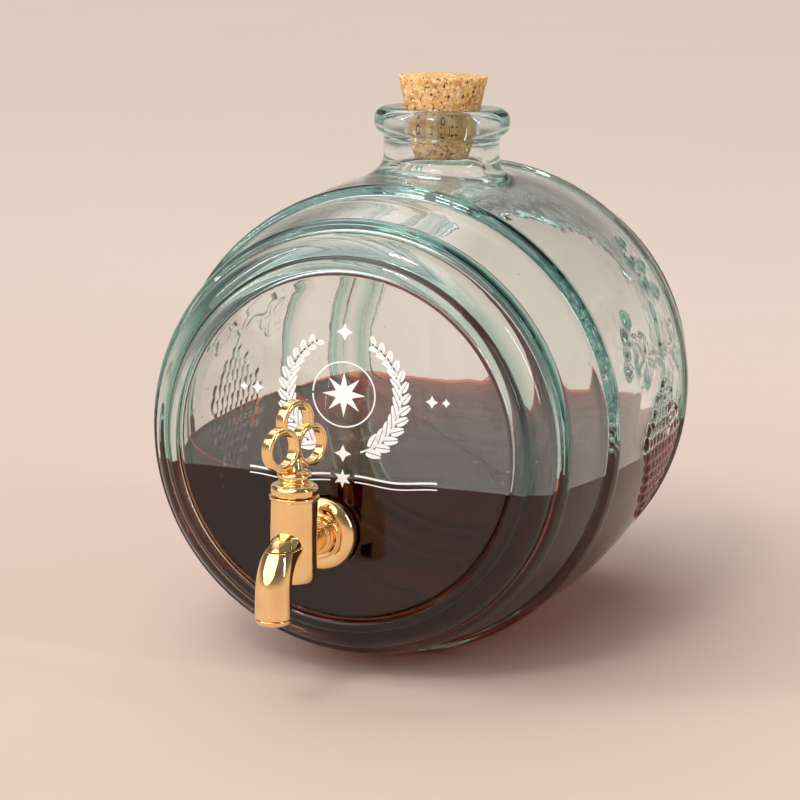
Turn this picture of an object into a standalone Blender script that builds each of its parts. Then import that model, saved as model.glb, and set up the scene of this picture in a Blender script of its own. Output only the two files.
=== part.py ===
"""Glass whisky barrel with a cork and a gold plug tap, one object for each piece.

Metres, +Z up. The barrel lies along Y on its flat foot, the tap points to -Y, and the origin is the
middle of the foot, straight under the neck.
"""

import math

import bmesh
import bpy
from mathutils import Matrix, Vector

# Clearances, overrun and counts that every piece shares
SEAT_GAP = 0.0003
TAP_GAP = 0.0002
OVERRUN = 0.004
MERGE_DISTANCE = 0.00001
SHARP_ANGLE = math.radians(32)
QUARTER = math.pi / 2
ROUND_STEP = QUARTER / 3
ROUND_ANGLES = (0, ROUND_STEP, 2 * ROUND_STEP, QUARTER)
UNDERCUT = QUARTER + ROUND_STEP
ROUND_POINTS = 4
LOW_ROUND_POINTS = 3
BEAD_POINTS = 5

# Glass barrel: staves, hoops, heads and foot
BELLY_RADIUS = 0.0870
HALF_LENGTH = 0.1001
STAVE_FALL = 0.0161
STAVE_CURVE_POWER = 2.19
SHOULDER_INSET = 0.0041
WALL = 0.0050
HEAD_WALL = 0.0055
INNER_CORNER_RADIUS = 0.0130
INNER_HOOP_OFFSET = 0.0530
OUTER_HOOP_INSET = 0.0128
HOOP_WIDTH = 0.0064
HOOP_RISE = 0.0023
HOOP_CHAMFER = 0.0007
HEAD_GROOVE_WIDTH = 0.0013
HEAD_GROOVE_DEPTH = 0.0011
CHIME_RISE = 0.0014
CHIME_INSET = 0.0053
CHIME_ROUNDING = 0.0030
HEAD_INSET = 0.0064
FOOT_FLAT_DEPTH = 0.0035
AXIS_HEIGHT = BELLY_RADIUS - FOOT_FLAT_DEPTH
BARREL_STEPS = 40
STAVE_STEPS = 2

# Neck and lip, measured down from the top of the lip
NECK_HEIGHT = 0.0215
LIP_TOP = AXIS_HEIGHT + BELLY_RADIUS + NECK_HEIGHT
LIP_RADIUS = 0.0251
LIP_HEIGHT = 0.0100
LIP_ROUNDING = 0.0042
LIP_FOOT_RADIUS = 0.0228
NECK_RADIUS = 0.0215
NECK_FLARE_RADIUS = 0.0062
NECK_SINK = 0.0007
NECK_BORE_RADIUS = 0.0158
MOUTH_LENGTH = 0.0065
MOUTH_ROUNDING = 0.0015
THROAT_FLARE = 0.0035
NECK_STEPS = 28

# Cork
CORK_SEAT_RADIUS = 0.0140
CORK_TAPER_SHARE = 0.222
CORK_ABOVE_LIP = 0.0117
CORK_BELOW_LIP = 0.0185
CORK_CHAMFER = 0.0006
CORK_STEPS = 28

# Whisky
LIQUID_DROP = 0.0123

# Where the tap goes through the front head, seen from the barrel axis
TAP_SIDE_OFFSET = -0.0065
TAP_DROP = 0.0302
TAP_STEPS = 24

# Clamped stack on the front head, from the front of the tap to the nut inside
SHANK_RADIUS = 0.0047
SHANK_BORE_RADIUS = 0.0026
SHANK_TAIL = 0.0030
SHANK_CHAMFER = 0.0006
SPIGOT_RADIUS = 0.0036
SPIGOT_LENGTH = 0.0060
GASKET_RADIUS = 0.0122
GASKET_THICKNESS = 0.0015
ROSETTE_RADIUS = 0.0127
ROSETTE_RIM = 0.0009
ROSETTE_DOME_HEIGHT = 0.0041
ROSETTE_STEP_RADIUS = 0.0078
ROSETTE_HEIGHT = 0.0052
ROSETTE_WALL = 0.0011
INNER_GASKET_RADIUS = 0.0100
WASHER_RADIUS = 0.0095
WASHER_THICKNESS = 0.0010
NUT_ACROSS_FLATS = 0.0140
NUT_HEIGHT = 0.0040
NUT_CHAMFER = 0.0007
NUT_SIDES = 6

# Tap body
BODY_RADIUS = 0.00795
BODY_HEIGHT = 0.0290
BODY_LIP_RADIUS = 0.00845
BODY_LIP_HEIGHT = 0.0010
BODY_FOOT_CHAMFER = 0.0006
INLET_DEPTH_SHARE = 0.662
OUTLET_RISE_SHARE = 0.09
HUB_RADIUS = 0.0047
HUB_LENGTH = 0.0119
COLLAR_RADIUS = 0.0056
COLLAR_THICKNESS = 0.0014
SCREW_RECESS_RADIUS = 0.0068
SCREW_RECESS_DEPTH = 0.0031

# Spout, swept along one bend
SPOUT_START = 0.0055
SPOUT_BEND_RADIUS = 0.0120
SPOUT_DROP = 0.0208
SPOUT_ROOT_RADIUS = 0.0057
SPOUT_END_RADIUS = 0.0061
SPOUT_BORE_RADIUS = 0.0031
SPOUT_SEAM_RISE = 0.0008
SPOUT_STEP = 0.0002
SPOUT_SIDES_SETTING = 7
SPOUT_BEND_POINTS = 9
NOZZLE_HEIGHT = 0.0020
NOZZLE_TIP_RADIUS = 0.0040
NOZZLE_BORE_RADIUS = 0.0030
NOZZLE_SPIGOT_RADIUS = 0.0041
NOZZLE_SPIGOT_LENGTH = 0.0030

# Plug that turns in the body
PLUG_RADIUS = 0.0050
PLUG_RUNNING_GAP = 0.0003
PLUG_TOP_INSET = 0.0004
PORT_WIDTH = 0.0046
PORT_HEIGHT_SHARE = 0.296
ORING_SECTION_RADIUS = 0.0006
ORING_GROOVE_DEPTH = 0.0012
ORING_GROOVE_WIDTH = 0.0015
UPPER_ORING_DEPTH_SHARE = 0.33
ORING_SIDES = 6

# Washers and screw under the plug
PLUG_WASHER_RADIUS = 0.0062
PLUG_WASHER_THICKNESS = 0.0006
SPRING_WASHER_RADIUS = 0.0034
SPRING_WASHER_THICKNESS = 0.0005
SPRING_WASHER_SLOT = 0.0006
SCREW_RADIUS = 0.0014
SCREW_BITE_SHARE = 0.7
SCREW_HEAD_RADIUS = 0.0031
SCREW_HEAD_HEIGHT = 0.0012
SCREW_SLOT_WIDTH = 0.0008
SCREW_SLOT_DEPTH = 0.0006
SMALL_STEPS = 16

# Trefoil key: mouldings of the stem and three rings
KEY_ANGLE = math.radians(68)
SHOULDER_RADIUS = 0.00805
SHOULDER_HEIGHT = 0.0038
STEM_RING_RADIUS = 0.00485
STEM_RING_HEIGHT = 0.0012
BEAD_RADIUS = 0.0059
BEAD_HEIGHT = 0.0031
STEM_RADIUS = 0.0029
STEM_HEIGHT = 0.0060
STEM_TIP_RADIUS = 0.0007
TANG_RADIUS = 0.0026
TANG_LENGTH = 0.0068
LOOP_OUTER_RADIUS = 0.0074
LOOP_INNER_RADIUS = 0.0056
LOOP_THICKNESS = 0.0043
LOOP_CHAMFER = 0.0006
LOOP_SPACING = 0.0134
TOP_LOOP_RISE = 0.0085
LOOP_WEB = 0.0018
LOOP_CLEAR_OF_BEAD = 0.0006
LOOP_STEPS = 22
PIN_RADIUS = 0.0007
PIN_BELOW_TOP = 0.0036

# Places worked out from the sizes above
FRONT_FACE = -HALF_LENGTH
BODY_TO_GLASS = (
    HUB_LENGTH + BODY_RADIUS + COLLAR_THICKNESS + ROSETTE_HEIGHT + GASKET_THICKNESS
    + SEAT_GAP + TAP_GAP + TAP_GAP
)
TAP_AXIS = (TAP_SIDE_OFFSET, FRONT_FACE - BODY_TO_GLASS)
CHIME_RADIUS = BELLY_RADIUS - STAVE_FALL - CHIME_INSET
HEAD_RADIUS = CHIME_RADIUS - HEAD_INSET
INLET_HEIGHT = AXIS_HEIGHT - TAP_DROP
BODY_TOP = INLET_HEIGHT + BODY_HEIGHT * INLET_DEPTH_SHARE
BODY_BOTTOM = BODY_TOP - BODY_HEIGHT
OUTLET_HEIGHT = INLET_HEIGHT + BODY_HEIGHT * OUTLET_RISE_SHARE
SPOUT_REACH = SPOUT_START + SPOUT_BEND_RADIUS
SPOUT_END = OUTLET_HEIGHT - SPOUT_DROP
SEAM_HEIGHT = OUTLET_HEIGHT + SPOUT_SEAM_RISE
PLUG_BORE_RADIUS = PLUG_RADIUS + PLUG_RUNNING_GAP
PLUG_TOP = BODY_TOP - PLUG_TOP_INSET
PLUG_BOTTOM = BODY_BOTTOM + SCREW_RECESS_DEPTH + TAP_GAP
PORT_HEIGHT = BODY_HEIGHT * PORT_HEIGHT_SHARE
PORT_MIDDLE = (INLET_HEIGHT + OUTLET_HEIGHT) / 2
PORT_FLOOR = PORT_MIDDLE - PORT_HEIGHT / 2
SCREW_TOP = PLUG_BOTTOM + (PORT_FLOOR - PLUG_BOTTOM) * SCREW_BITE_SHARE
COLLAR_FACE = TAP_AXIS[1] + BODY_RADIUS + HUB_LENGTH + COLLAR_THICKNESS
INNER_FACE = FRONT_FACE + HEAD_WALL
CORK_MOUTH_RADIUS = CORK_SEAT_RADIUS + SEAT_GAP
LIQUID_LEVEL = AXIS_HEIGHT - LIQUID_DROP

# Colour, roughness, metallic value and transmission of each finish
FINISHES = {
    "clear_glass": ((0.80, 0.93, 0.88), 0.03, 0.0, 1.0),
    "whisky": ((0.20, 0.03, 0.01), 0.02, 0.0, 0.9),
    "cork": ((0.66, 0.45, 0.24), 0.85, 0.0, 0.0),
    "gold_plate": ((0.94, 0.72, 0.38), 0.12, 1.0, 0.0),
    "brass": ((0.80, 0.62, 0.32), 0.28, 1.0, 0.0),
    "steel": ((0.62, 0.62, 0.64), 0.30, 1.0, 0.0),
    "black_rubber": ((0.03, 0.03, 0.03), 0.60, 0.0, 0.0),
}


# Building tools

def clear_scene():
    for obj in list(bpy.data.objects):
        bpy.data.objects.remove(obj)


def bake(obj):
    """Replace an object's modifiers by the mesh that they make."""
    depsgraph = bpy.context.evaluated_depsgraph_get()
    mesh = bpy.data.meshes.new_from_object(obj.evaluated_get(depsgraph))
    obj.modifiers.clear()
    obj.data = mesh
    mesh.name = obj.name


def place(name, mesh, location=(0, 0, 0), rotation=(0, 0, 0)):
    obj = bpy.data.objects.new(name, mesh)
    obj.location = location
    obj.rotation_euler = rotation
    bpy.context.scene.collection.objects.link(obj)
    bpy.context.view_layer.update()
    return obj


def turned(name, profile, steps, location=(0, 0, 0), rotation=(0, 0, 0), closed=False):
    """Turn a profile of (radius, height) about local Z; its outer side runs from top to bottom."""
    mesh = bpy.data.meshes.new(name)
    edges = [(i, i + 1) for i in range(len(profile) - 1)]
    if closed:
        edges.append((len(profile) - 1, 0))
    mesh.from_pydata([(radius, 0, height) for radius, height in profile], edges, [])
    obj = place(name, mesh, location, rotation)
    screw = obj.modifiers.new("Screw", "SCREW")
    screw.steps = steps
    screw.render_steps = steps
    screw.use_merge_vertices = True
    screw.merge_threshold = MERGE_DISTANCE
    bake(obj)
    return obj


def box(name, low, high):
    """Axis-aligned box between two corners."""
    mesh = bpy.data.meshes.new(name)
    size = Vector(high) - Vector(low)
    matrix = Matrix.Translation(Vector(low) + size / 2) @ Matrix.Diagonal((*size, 1))
    form = bmesh.new()
    bmesh.ops.create_cube(form, size=1, matrix=matrix)
    form.to_mesh(mesh)
    form.free()
    return place(name, mesh)


def rod(name, radius, start, end, steps):
    """Solid cylinder from one point to another."""
    axis = Vector(end) - Vector(start)
    turn = Vector((0, 0, 1)).rotation_difference(axis).to_matrix().to_4x4()
    matrix = Matrix.Translation((Vector(start) + Vector(end)) / 2) @ turn
    mesh = bpy.data.meshes.new(name)
    form = bmesh.new()
    bmesh.ops.create_cone(
        form, cap_ends=True, segments=steps, radius1=radius, radius2=radius, depth=axis.length, matrix=matrix
    )
    form.to_mesh(mesh)
    form.free()
    return place(name, mesh)


def welded(guide, name):
    """Turn a curve object into a closed mesh object in its place."""
    depsgraph = bpy.context.evaluated_depsgraph_get()
    mesh = bpy.data.meshes.new_from_object(guide.evaluated_get(depsgraph))
    form = bmesh.new()
    form.from_mesh(mesh)
    bmesh.ops.remove_doubles(form, verts=form.verts, dist=MERGE_DISTANCE)
    bmesh.ops.recalc_face_normals(form, faces=form.faces)
    form.to_mesh(mesh)
    form.free()
    obj = place(name, mesh)
    obj.matrix_world = guide.matrix_world
    bpy.data.objects.remove(guide)
    return obj


def swept(name, path, radii, sides_setting):
    """Round bar along a path, with a radius at each point."""
    curve = bpy.data.curves.new(name, "CURVE")
    curve.dimensions = "3D"
    curve.bevel_depth = max(radii)
    curve.bevel_resolution = sides_setting
    curve.use_fill_caps = True
    spline = curve.splines.new("POLY")
    spline.points.add(len(path) - 1)
    for point, position, radius in zip(spline.points, path, radii):
        point.co = (*position, 1)
        point.radius = radius / max(radii)
    return welded(place(name + "_guide", curve), name)


def combine(target, tool, operation):
    """Run one exact Boolean on the target and take the tool away."""
    modifier = target.modifiers.new("Boolean", "BOOLEAN")
    modifier.operation = operation
    modifier.solver = "EXACT"
    modifier.object = tool
    bake(target)
    bpy.data.objects.remove(tool)


def cut(target, *tools):
    for tool in tools:
        combine(target, tool, "DIFFERENCE")


def join(target, *tools):
    for tool in tools:
        combine(target, tool, "UNION")


def arc(centre, radius, start, end, points):
    """Points of an arc in a profile, angles measured from the radial direction."""
    step = (end - start) / (points - 1)
    angles = [start + step * i for i in range(points)]
    return [(centre[0] + radius * math.cos(a), centre[1] + radius * math.sin(a)) for a in angles]


def washer_profile(inner, outer, bottom, top):
    return [(inner, top), (outer, top), (outer, bottom), (inner, bottom)]


def finish(obj, finish_name, group):
    """Shade a piece, give it its material and move it to its collection."""
    colour, roughness, metallic, transmission = FINISHES[finish_name]
    obj.data.shade_smooth()
    obj.data.set_sharp_from_angle(angle=SHARP_ANGLE)
    material = bpy.data.materials.new(obj.name + "_" + finish_name)
    material.use_nodes = True
    shader = material.node_tree.nodes["Principled BSDF"]
    shader.inputs["Base Color"].default_value = (*colour, 1)
    shader.inputs["Roughness"].default_value = roughness
    shader.inputs["Metallic"].default_value = metallic
    shader.inputs["Transmission Weight"].default_value = transmission
    obj.data.materials.clear()
    obj.data.materials.append(material)
    bpy.context.scene.collection.objects.unlink(obj)
    group.objects.link(obj)
    return obj


# Glass vessel, its contents and its cork

ALONG_BARREL = (QUARTER, 0, 0)
AXIS_POINT = (0, 0, AXIS_HEIGHT)


def stave_radius(distance):
    """Outer radius of the plain staves at a distance from the middle of the barrel."""
    share = abs(distance) / (HALF_LENGTH - SHOULDER_INSET)
    return BELLY_RADIUS - STAVE_FALL * share ** STAVE_CURVE_POWER


def hoop_section(centre):
    """One raised hoop band, from its outer foot to its inner foot."""
    outer = centre + HOOP_WIDTH / 2
    inner = centre - HOOP_WIDTH / 2
    return [
        (stave_radius(outer), outer),
        (stave_radius(outer) + HOOP_RISE, outer - HOOP_CHAMFER),
        (stave_radius(inner) + HOOP_RISE, inner + HOOP_CHAMFER),
        (stave_radius(inner), inner),
    ]


def stave_section(start, end, points, inset=0):
    """Points of the stave curve strictly between two distances from the middle."""
    step = (end - start) / (points + 1)
    stations = [start + step * i for i in range(1, points + 1)]
    return [(stave_radius(z) - inset, z) for z in stations]


def both_halves(half):
    """Mirror a profile that ends on the middle plane."""
    return half + [(radius, -height) for radius, height in reversed(half[:-1])]


def outer_profile():
    rim = HALF_LENGTH + CHIME_RISE
    outer_hoop = HALF_LENGTH - OUTER_HOOP_INSET
    hoop_front = outer_hoop + HOOP_WIDTH / 2
    shoulder_start = stave_radius(hoop_front)
    shoulder_top = rim - CHIME_ROUNDING
    head = [
        (0, HALF_LENGTH),
        (HEAD_RADIUS, HALF_LENGTH),
        (HEAD_RADIUS + HEAD_GROOVE_WIDTH / 2, HALF_LENGTH - HEAD_GROOVE_DEPTH),
        (HEAD_RADIUS + HEAD_GROOVE_WIDTH, HALF_LENGTH),
    ]
    chime_centre = (CHIME_RADIUS - CHIME_ROUNDING, shoulder_top)
    chime = arc(chime_centre, CHIME_ROUNDING, UNDERCUT, 0, BEAD_POINTS)
    shoulder = []
    for angle in reversed(ROUND_ANGLES[1:-1]):
        radius = CHIME_RADIUS + (shoulder_start - CHIME_RADIUS) * math.cos(angle)
        height = hoop_front + (shoulder_top - hoop_front) * math.sin(angle)
        shoulder.append((radius, height))
    inner_end = INNER_HOOP_OFFSET + HOOP_WIDTH / 2
    outer_start = outer_hoop - HOOP_WIDTH / 2
    half = head + chime + shoulder + hoop_section(outer_hoop)
    half += stave_section(outer_start, inner_end, STAVE_STEPS)
    half += hoop_section(INNER_HOOP_OFFSET)
    half += stave_section(INNER_HOOP_OFFSET - HOOP_WIDTH / 2, 0, STAVE_STEPS)
    return both_halves(half + [(BELLY_RADIUS, 0)])


def cavity_profile(inset):
    """Inside of the vessel, drawn in by an inset for what fills it."""
    head = HALF_LENGTH - HEAD_WALL - inset
    corner_base = HALF_LENGTH - HEAD_WALL - INNER_CORNER_RADIUS
    side = stave_radius(corner_base) - WALL - inset
    corner_centre = (side - INNER_CORNER_RADIUS + inset, corner_base)
    corner = arc(corner_centre, INNER_CORNER_RADIUS - inset, QUARTER, 0, ROUND_POINTS)
    half = [(0, head)] + corner
    half += stave_section(corner_base, 0, STAVE_STEPS, WALL + inset)
    return both_halves(half + [(BELLY_RADIUS - WALL - inset, 0)])


def below(height, name="below"):
    """Block that takes away everything under a height."""
    reach = HALF_LENGTH + OVERRUN
    return box(name, (-reach, -reach, height - BELLY_RADIUS), (reach, reach, height))


def neck_profile():
    upper = (LIP_RADIUS - LIP_ROUNDING, LIP_TOP - LIP_ROUNDING)
    lower = (LIP_RADIUS - LIP_ROUNDING, LIP_TOP - LIP_HEIGHT + LIP_ROUNDING)
    flare_reach = NECK_RADIUS + NECK_FLARE_RADIUS
    belly_sag = BELLY_RADIUS - math.sqrt(BELLY_RADIUS ** 2 - flare_reach ** 2)
    flare_start = LIP_TOP - NECK_HEIGHT - belly_sag - NECK_SINK + NECK_FLARE_RADIUS
    flare_centre = (flare_reach, flare_start)
    flare = arc(flare_centre, NECK_FLARE_RADIUS, math.pi, math.pi + QUARTER, BEAD_POINTS)
    profile = [(0, LIP_TOP)]
    profile += arc(upper, LIP_ROUNDING, QUARTER, 0, ROUND_POINTS)
    profile += arc(lower, LIP_ROUNDING, 0, ROUND_STEP - QUARTER, LOW_ROUND_POINTS)
    profile += [(LIP_FOOT_RADIUS, LIP_TOP - LIP_HEIGHT), (NECK_RADIUS, LIP_TOP - LIP_HEIGHT - HOOP_CHAMFER)]
    profile += flare
    inside = LIP_TOP - NECK_HEIGHT - WALL
    return profile + [(flare[-1][0], inside), (0, inside)]


def bore_profile():
    mouth_centre = (CORK_MOUTH_RADIUS + MOUTH_ROUNDING, LIP_TOP - MOUTH_ROUNDING)
    mouth = arc(mouth_centre, MOUTH_ROUNDING, QUARTER, math.pi, ROUND_POINTS)
    throat = LIP_TOP - NECK_HEIGHT - WALL
    profile = [(0, LIP_TOP + OVERRUN), (mouth[0][0], LIP_TOP + OVERRUN)]
    profile += mouth
    profile += [
        (CORK_MOUTH_RADIUS, LIP_TOP - MOUTH_LENGTH),
        (NECK_BORE_RADIUS, LIP_TOP - LIP_HEIGHT - LIP_ROUNDING),
        (NECK_BORE_RADIUS, throat + THROAT_FLARE),
        (NECK_BORE_RADIUS + THROAT_FLARE, throat - THROAT_FLARE),
        (NECK_BORE_RADIUS + THROAT_FLARE, throat - THROAT_FLARE - OVERRUN),
    ]
    return profile + [(0, throat - THROAT_FLARE - OVERRUN)]


def make_glass_barrel(group):
    barrel = turned("glass_barrel", outer_profile(), BARREL_STEPS, AXIS_POINT, ALONG_BARREL)
    join(barrel, turned("neck", neck_profile(), NECK_STEPS))
    cut(barrel, below(0))
    hollow = turned("hollow", cavity_profile(0), BARREL_STEPS, AXIS_POINT, ALONG_BARREL)
    cut(hollow, below(WALL))
    join(hollow, turned("bore", bore_profile(), NECK_STEPS))
    cut(barrel, hollow)
    hole_start = (TAP_SIDE_OFFSET, FRONT_FACE - OVERRUN, INLET_HEIGHT)
    hole_end = (TAP_SIDE_OFFSET, INNER_FACE + OVERRUN, INLET_HEIGHT)
    cut(barrel, rod("tap_hole", SHANK_RADIUS + SEAT_GAP, hole_start, hole_end, TAP_STEPS))
    finish(barrel, "clear_glass", group)


def make_whisky_fill(group):
    whisky = turned("whisky_fill", cavity_profile(SEAT_GAP), BARREL_STEPS, AXIS_POINT, ALONG_BARREL)
    reach = HALF_LENGTH + OVERRUN
    cut(whisky, below(WALL + SEAT_GAP))
    cut(whisky, box("air", (-reach, -reach, LIQUID_LEVEL), (reach, reach, LIP_TOP)))
    pocket_radius = NUT_ACROSS_FLATS / math.sqrt(3) + 2 * SEAT_GAP
    pocket_radius = max(pocket_radius, INNER_GASKET_RADIUS + 2 * SEAT_GAP)
    pocket_start = (TAP_SIDE_OFFSET, INNER_FACE - OVERRUN, INLET_HEIGHT)
    pocket_end = (TAP_SIDE_OFFSET, shank_end() + 2 * SEAT_GAP, INLET_HEIGHT)
    cut(whisky, rod("pocket", pocket_radius, pocket_start, pocket_end, TAP_STEPS))
    finish(whisky, "whisky", group)


def cork_radius(height):
    """Radius of the tapered cork at a height over the lip."""
    return CORK_SEAT_RADIUS + CORK_TAPER_SHARE * height


def make_cork_stopper(group):
    top_radius = cork_radius(CORK_ABOVE_LIP)
    bottom_radius = cork_radius(-CORK_BELOW_LIP)
    profile = [
        (0, CORK_ABOVE_LIP),
        (top_radius - CORK_CHAMFER, CORK_ABOVE_LIP),
        (top_radius, CORK_ABOVE_LIP - CORK_CHAMFER),
        (bottom_radius, CORK_CHAMFER - CORK_BELOW_LIP),
        (bottom_radius - CORK_CHAMFER, -CORK_BELOW_LIP),
        (0, -CORK_BELOW_LIP),
    ]
    cork = turned("cork_stopper", profile, CORK_STEPS, (0, 0, LIP_TOP))
    finish(cork, "cork", group)


# Stack that clamps the tap to the front head; its pieces turn about the inlet axis, seen from the front

def stack_point(distance):
    """Point on the inlet axis at a depth behind the front face of the glass."""
    return (TAP_SIDE_OFFSET, FRONT_FACE + distance, INLET_HEIGHT)


def shank_end():
    """Y of the shank's free end inside the barrel."""
    clamp = GASKET_THICKNESS + WASHER_THICKNESS + NUT_HEIGHT + SEAT_GAP + TAP_GAP + TAP_GAP
    return INNER_FACE + clamp + SHANK_TAIL


def ring_on_inlet(name, inner, outer, front, thickness, steps=TAP_STEPS):
    """Flat ring about the inlet axis whose front face is at a depth behind the glass face."""
    profile = washer_profile(inner, outer, -thickness, 0)
    return turned(name, profile, steps, stack_point(front), ALONG_BARREL, closed=True)


def make_gaskets_and_washer(group):
    bore = SHANK_RADIUS + TAP_GAP
    outer_front = -SEAT_GAP - GASKET_THICKNESS
    gasket = ring_on_inlet("outer_gasket", bore, GASKET_RADIUS, outer_front, GASKET_THICKNESS)
    finish(gasket, "black_rubber", group)
    inner_front = HEAD_WALL + SEAT_GAP
    gasket = ring_on_inlet("inner_gasket", bore, INNER_GASKET_RADIUS, inner_front, GASKET_THICKNESS)
    finish(gasket, "black_rubber", group)
    washer_front = inner_front + GASKET_THICKNESS + TAP_GAP
    washer = ring_on_inlet("inner_washer", bore, WASHER_RADIUS, washer_front, WASHER_THICKNESS)
    finish(washer, "steel", group)


def make_hex_nut(group):
    front = HEAD_WALL + SEAT_GAP + GASKET_THICKNESS + WASHER_THICKNESS + TAP_GAP + TAP_GAP
    corner_radius = NUT_ACROSS_FLATS / math.sqrt(3)
    nut = rod("hex_nut", corner_radius, stack_point(front), stack_point(front + NUT_HEIGHT), NUT_SIDES)
    rim = [
        (0, 0),
        (corner_radius - NUT_CHAMFER, 0),
        (corner_radius, -NUT_CHAMFER),
        (corner_radius, NUT_CHAMFER - NUT_HEIGHT),
        (corner_radius - NUT_CHAMFER, -NUT_HEIGHT),
        (0, -NUT_HEIGHT),
    ]
    combine(nut, turned("nut_rim", rim, TAP_STEPS, stack_point(front), ALONG_BARREL), "INTERSECT")
    bore_start = stack_point(front - OVERRUN)
    bore_end = stack_point(front + NUT_HEIGHT + OVERRUN)
    cut(nut, rod("nut_bore", SHANK_RADIUS + TAP_GAP, bore_start, bore_end, TAP_STEPS))
    finish(nut, "brass", group)


def make_rosette(group):
    """Spun dome with a raised step round the shank, hollow at the back."""
    bore = SHANK_RADIUS + TAP_GAP
    dome_run = ROSETTE_RADIUS - ROSETTE_STEP_RADIUS
    dome_rise = ROSETTE_DOME_HEIGHT - ROSETTE_RIM
    profile = [(bore, ROSETTE_HEIGHT), (ROSETTE_STEP_RADIUS, ROSETTE_HEIGHT)]
    for angle in reversed(ROUND_ANGLES):
        radius = ROSETTE_STEP_RADIUS + dome_run * math.cos(angle)
        profile.append((radius, ROSETTE_RIM + dome_rise * math.sin(angle)))
    profile += [
        (ROSETTE_RADIUS, 0),
        (ROSETTE_RADIUS - ROSETTE_WALL, 0),
        (ROSETTE_RADIUS - ROSETTE_WALL, ROSETTE_RIM),
        (ROSETTE_STEP_RADIUS, ROSETTE_DOME_HEIGHT - ROSETTE_WALL),
        (bore + ROSETTE_WALL, ROSETTE_DOME_HEIGHT - ROSETTE_WALL),
        (bore + ROSETTE_WALL, 0),
        (bore, 0),
    ]
    back = -SEAT_GAP - GASKET_THICKNESS - TAP_GAP
    rosette = turned("flange_rosette", profile, TAP_STEPS, stack_point(back), ALONG_BARREL, closed=True)
    finish(rosette, "gold_plate", group)


def make_shank(group):
    """Threaded tail pipe with a spigot that screws into the hub of the tap body."""
    shoulder = COLLAR_FACE + TAP_GAP
    tip = shoulder - SPIGOT_LENGTH
    length = shank_end() - tip
    profile = [
        (SHANK_BORE_RADIUS, 0),
        (SPIGOT_RADIUS, 0),
        (SPIGOT_RADIUS, -SPIGOT_LENGTH),
        (SHANK_RADIUS, -SPIGOT_LENGTH),
        (SHANK_RADIUS, SHANK_CHAMFER - length),
        (SHANK_RADIUS - SHANK_CHAMFER, -length),
        (SHANK_BORE_RADIUS, -length),
    ]
    location = (TAP_SIDE_OFFSET, tip, INLET_HEIGHT)
    finish(turned("tap_shank", profile, TAP_STEPS, location, ALONG_BARREL, closed=True), "brass", group)


# Tap body and spout

def tap_point(height, forward=0, side=0):
    """Point measured from the tap's upright axis, forward being away from the barrel."""
    return (TAP_AXIS[0] + side, TAP_AXIS[1] - forward, height)


def spout_path(lead):
    """Centre line of the spout: a lead-in behind the bend, a quarter bend and the straight drop."""
    path = [tap_point(OUTLET_HEIGHT, SPOUT_START - lead)]
    for i in range(SPOUT_BEND_POINTS):
        angle = QUARTER * i / (SPOUT_BEND_POINTS - 1)
        forward = SPOUT_START + SPOUT_BEND_RADIUS * math.sin(angle)
        path.append(tap_point(OUTLET_HEIGHT - SPOUT_BEND_RADIUS * (1 - math.cos(angle)), forward))
    path.append(tap_point(SPOUT_END, SPOUT_REACH))
    return path


def spout_bar(name, lead, growth, trim=0):
    """Outer form of the spout, swelling evenly from its root to its end."""
    path = spout_path(lead)
    swell = (SPOUT_END_RADIUS - SPOUT_ROOT_RADIUS) / (len(path) - 1)
    radii = [SPOUT_ROOT_RADIUS - trim + swell * i * growth for i in range(len(path))]
    return swept(name, path, radii, SPOUT_SIDES_SETTING)


def spout_passage(name):
    path = spout_path(SPOUT_START)
    path.append(tap_point(SPOUT_END - OVERRUN, SPOUT_REACH))
    return swept(name, path, [SPOUT_BORE_RADIUS] * len(path), SPOUT_SIDES_SETTING - 2)


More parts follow.
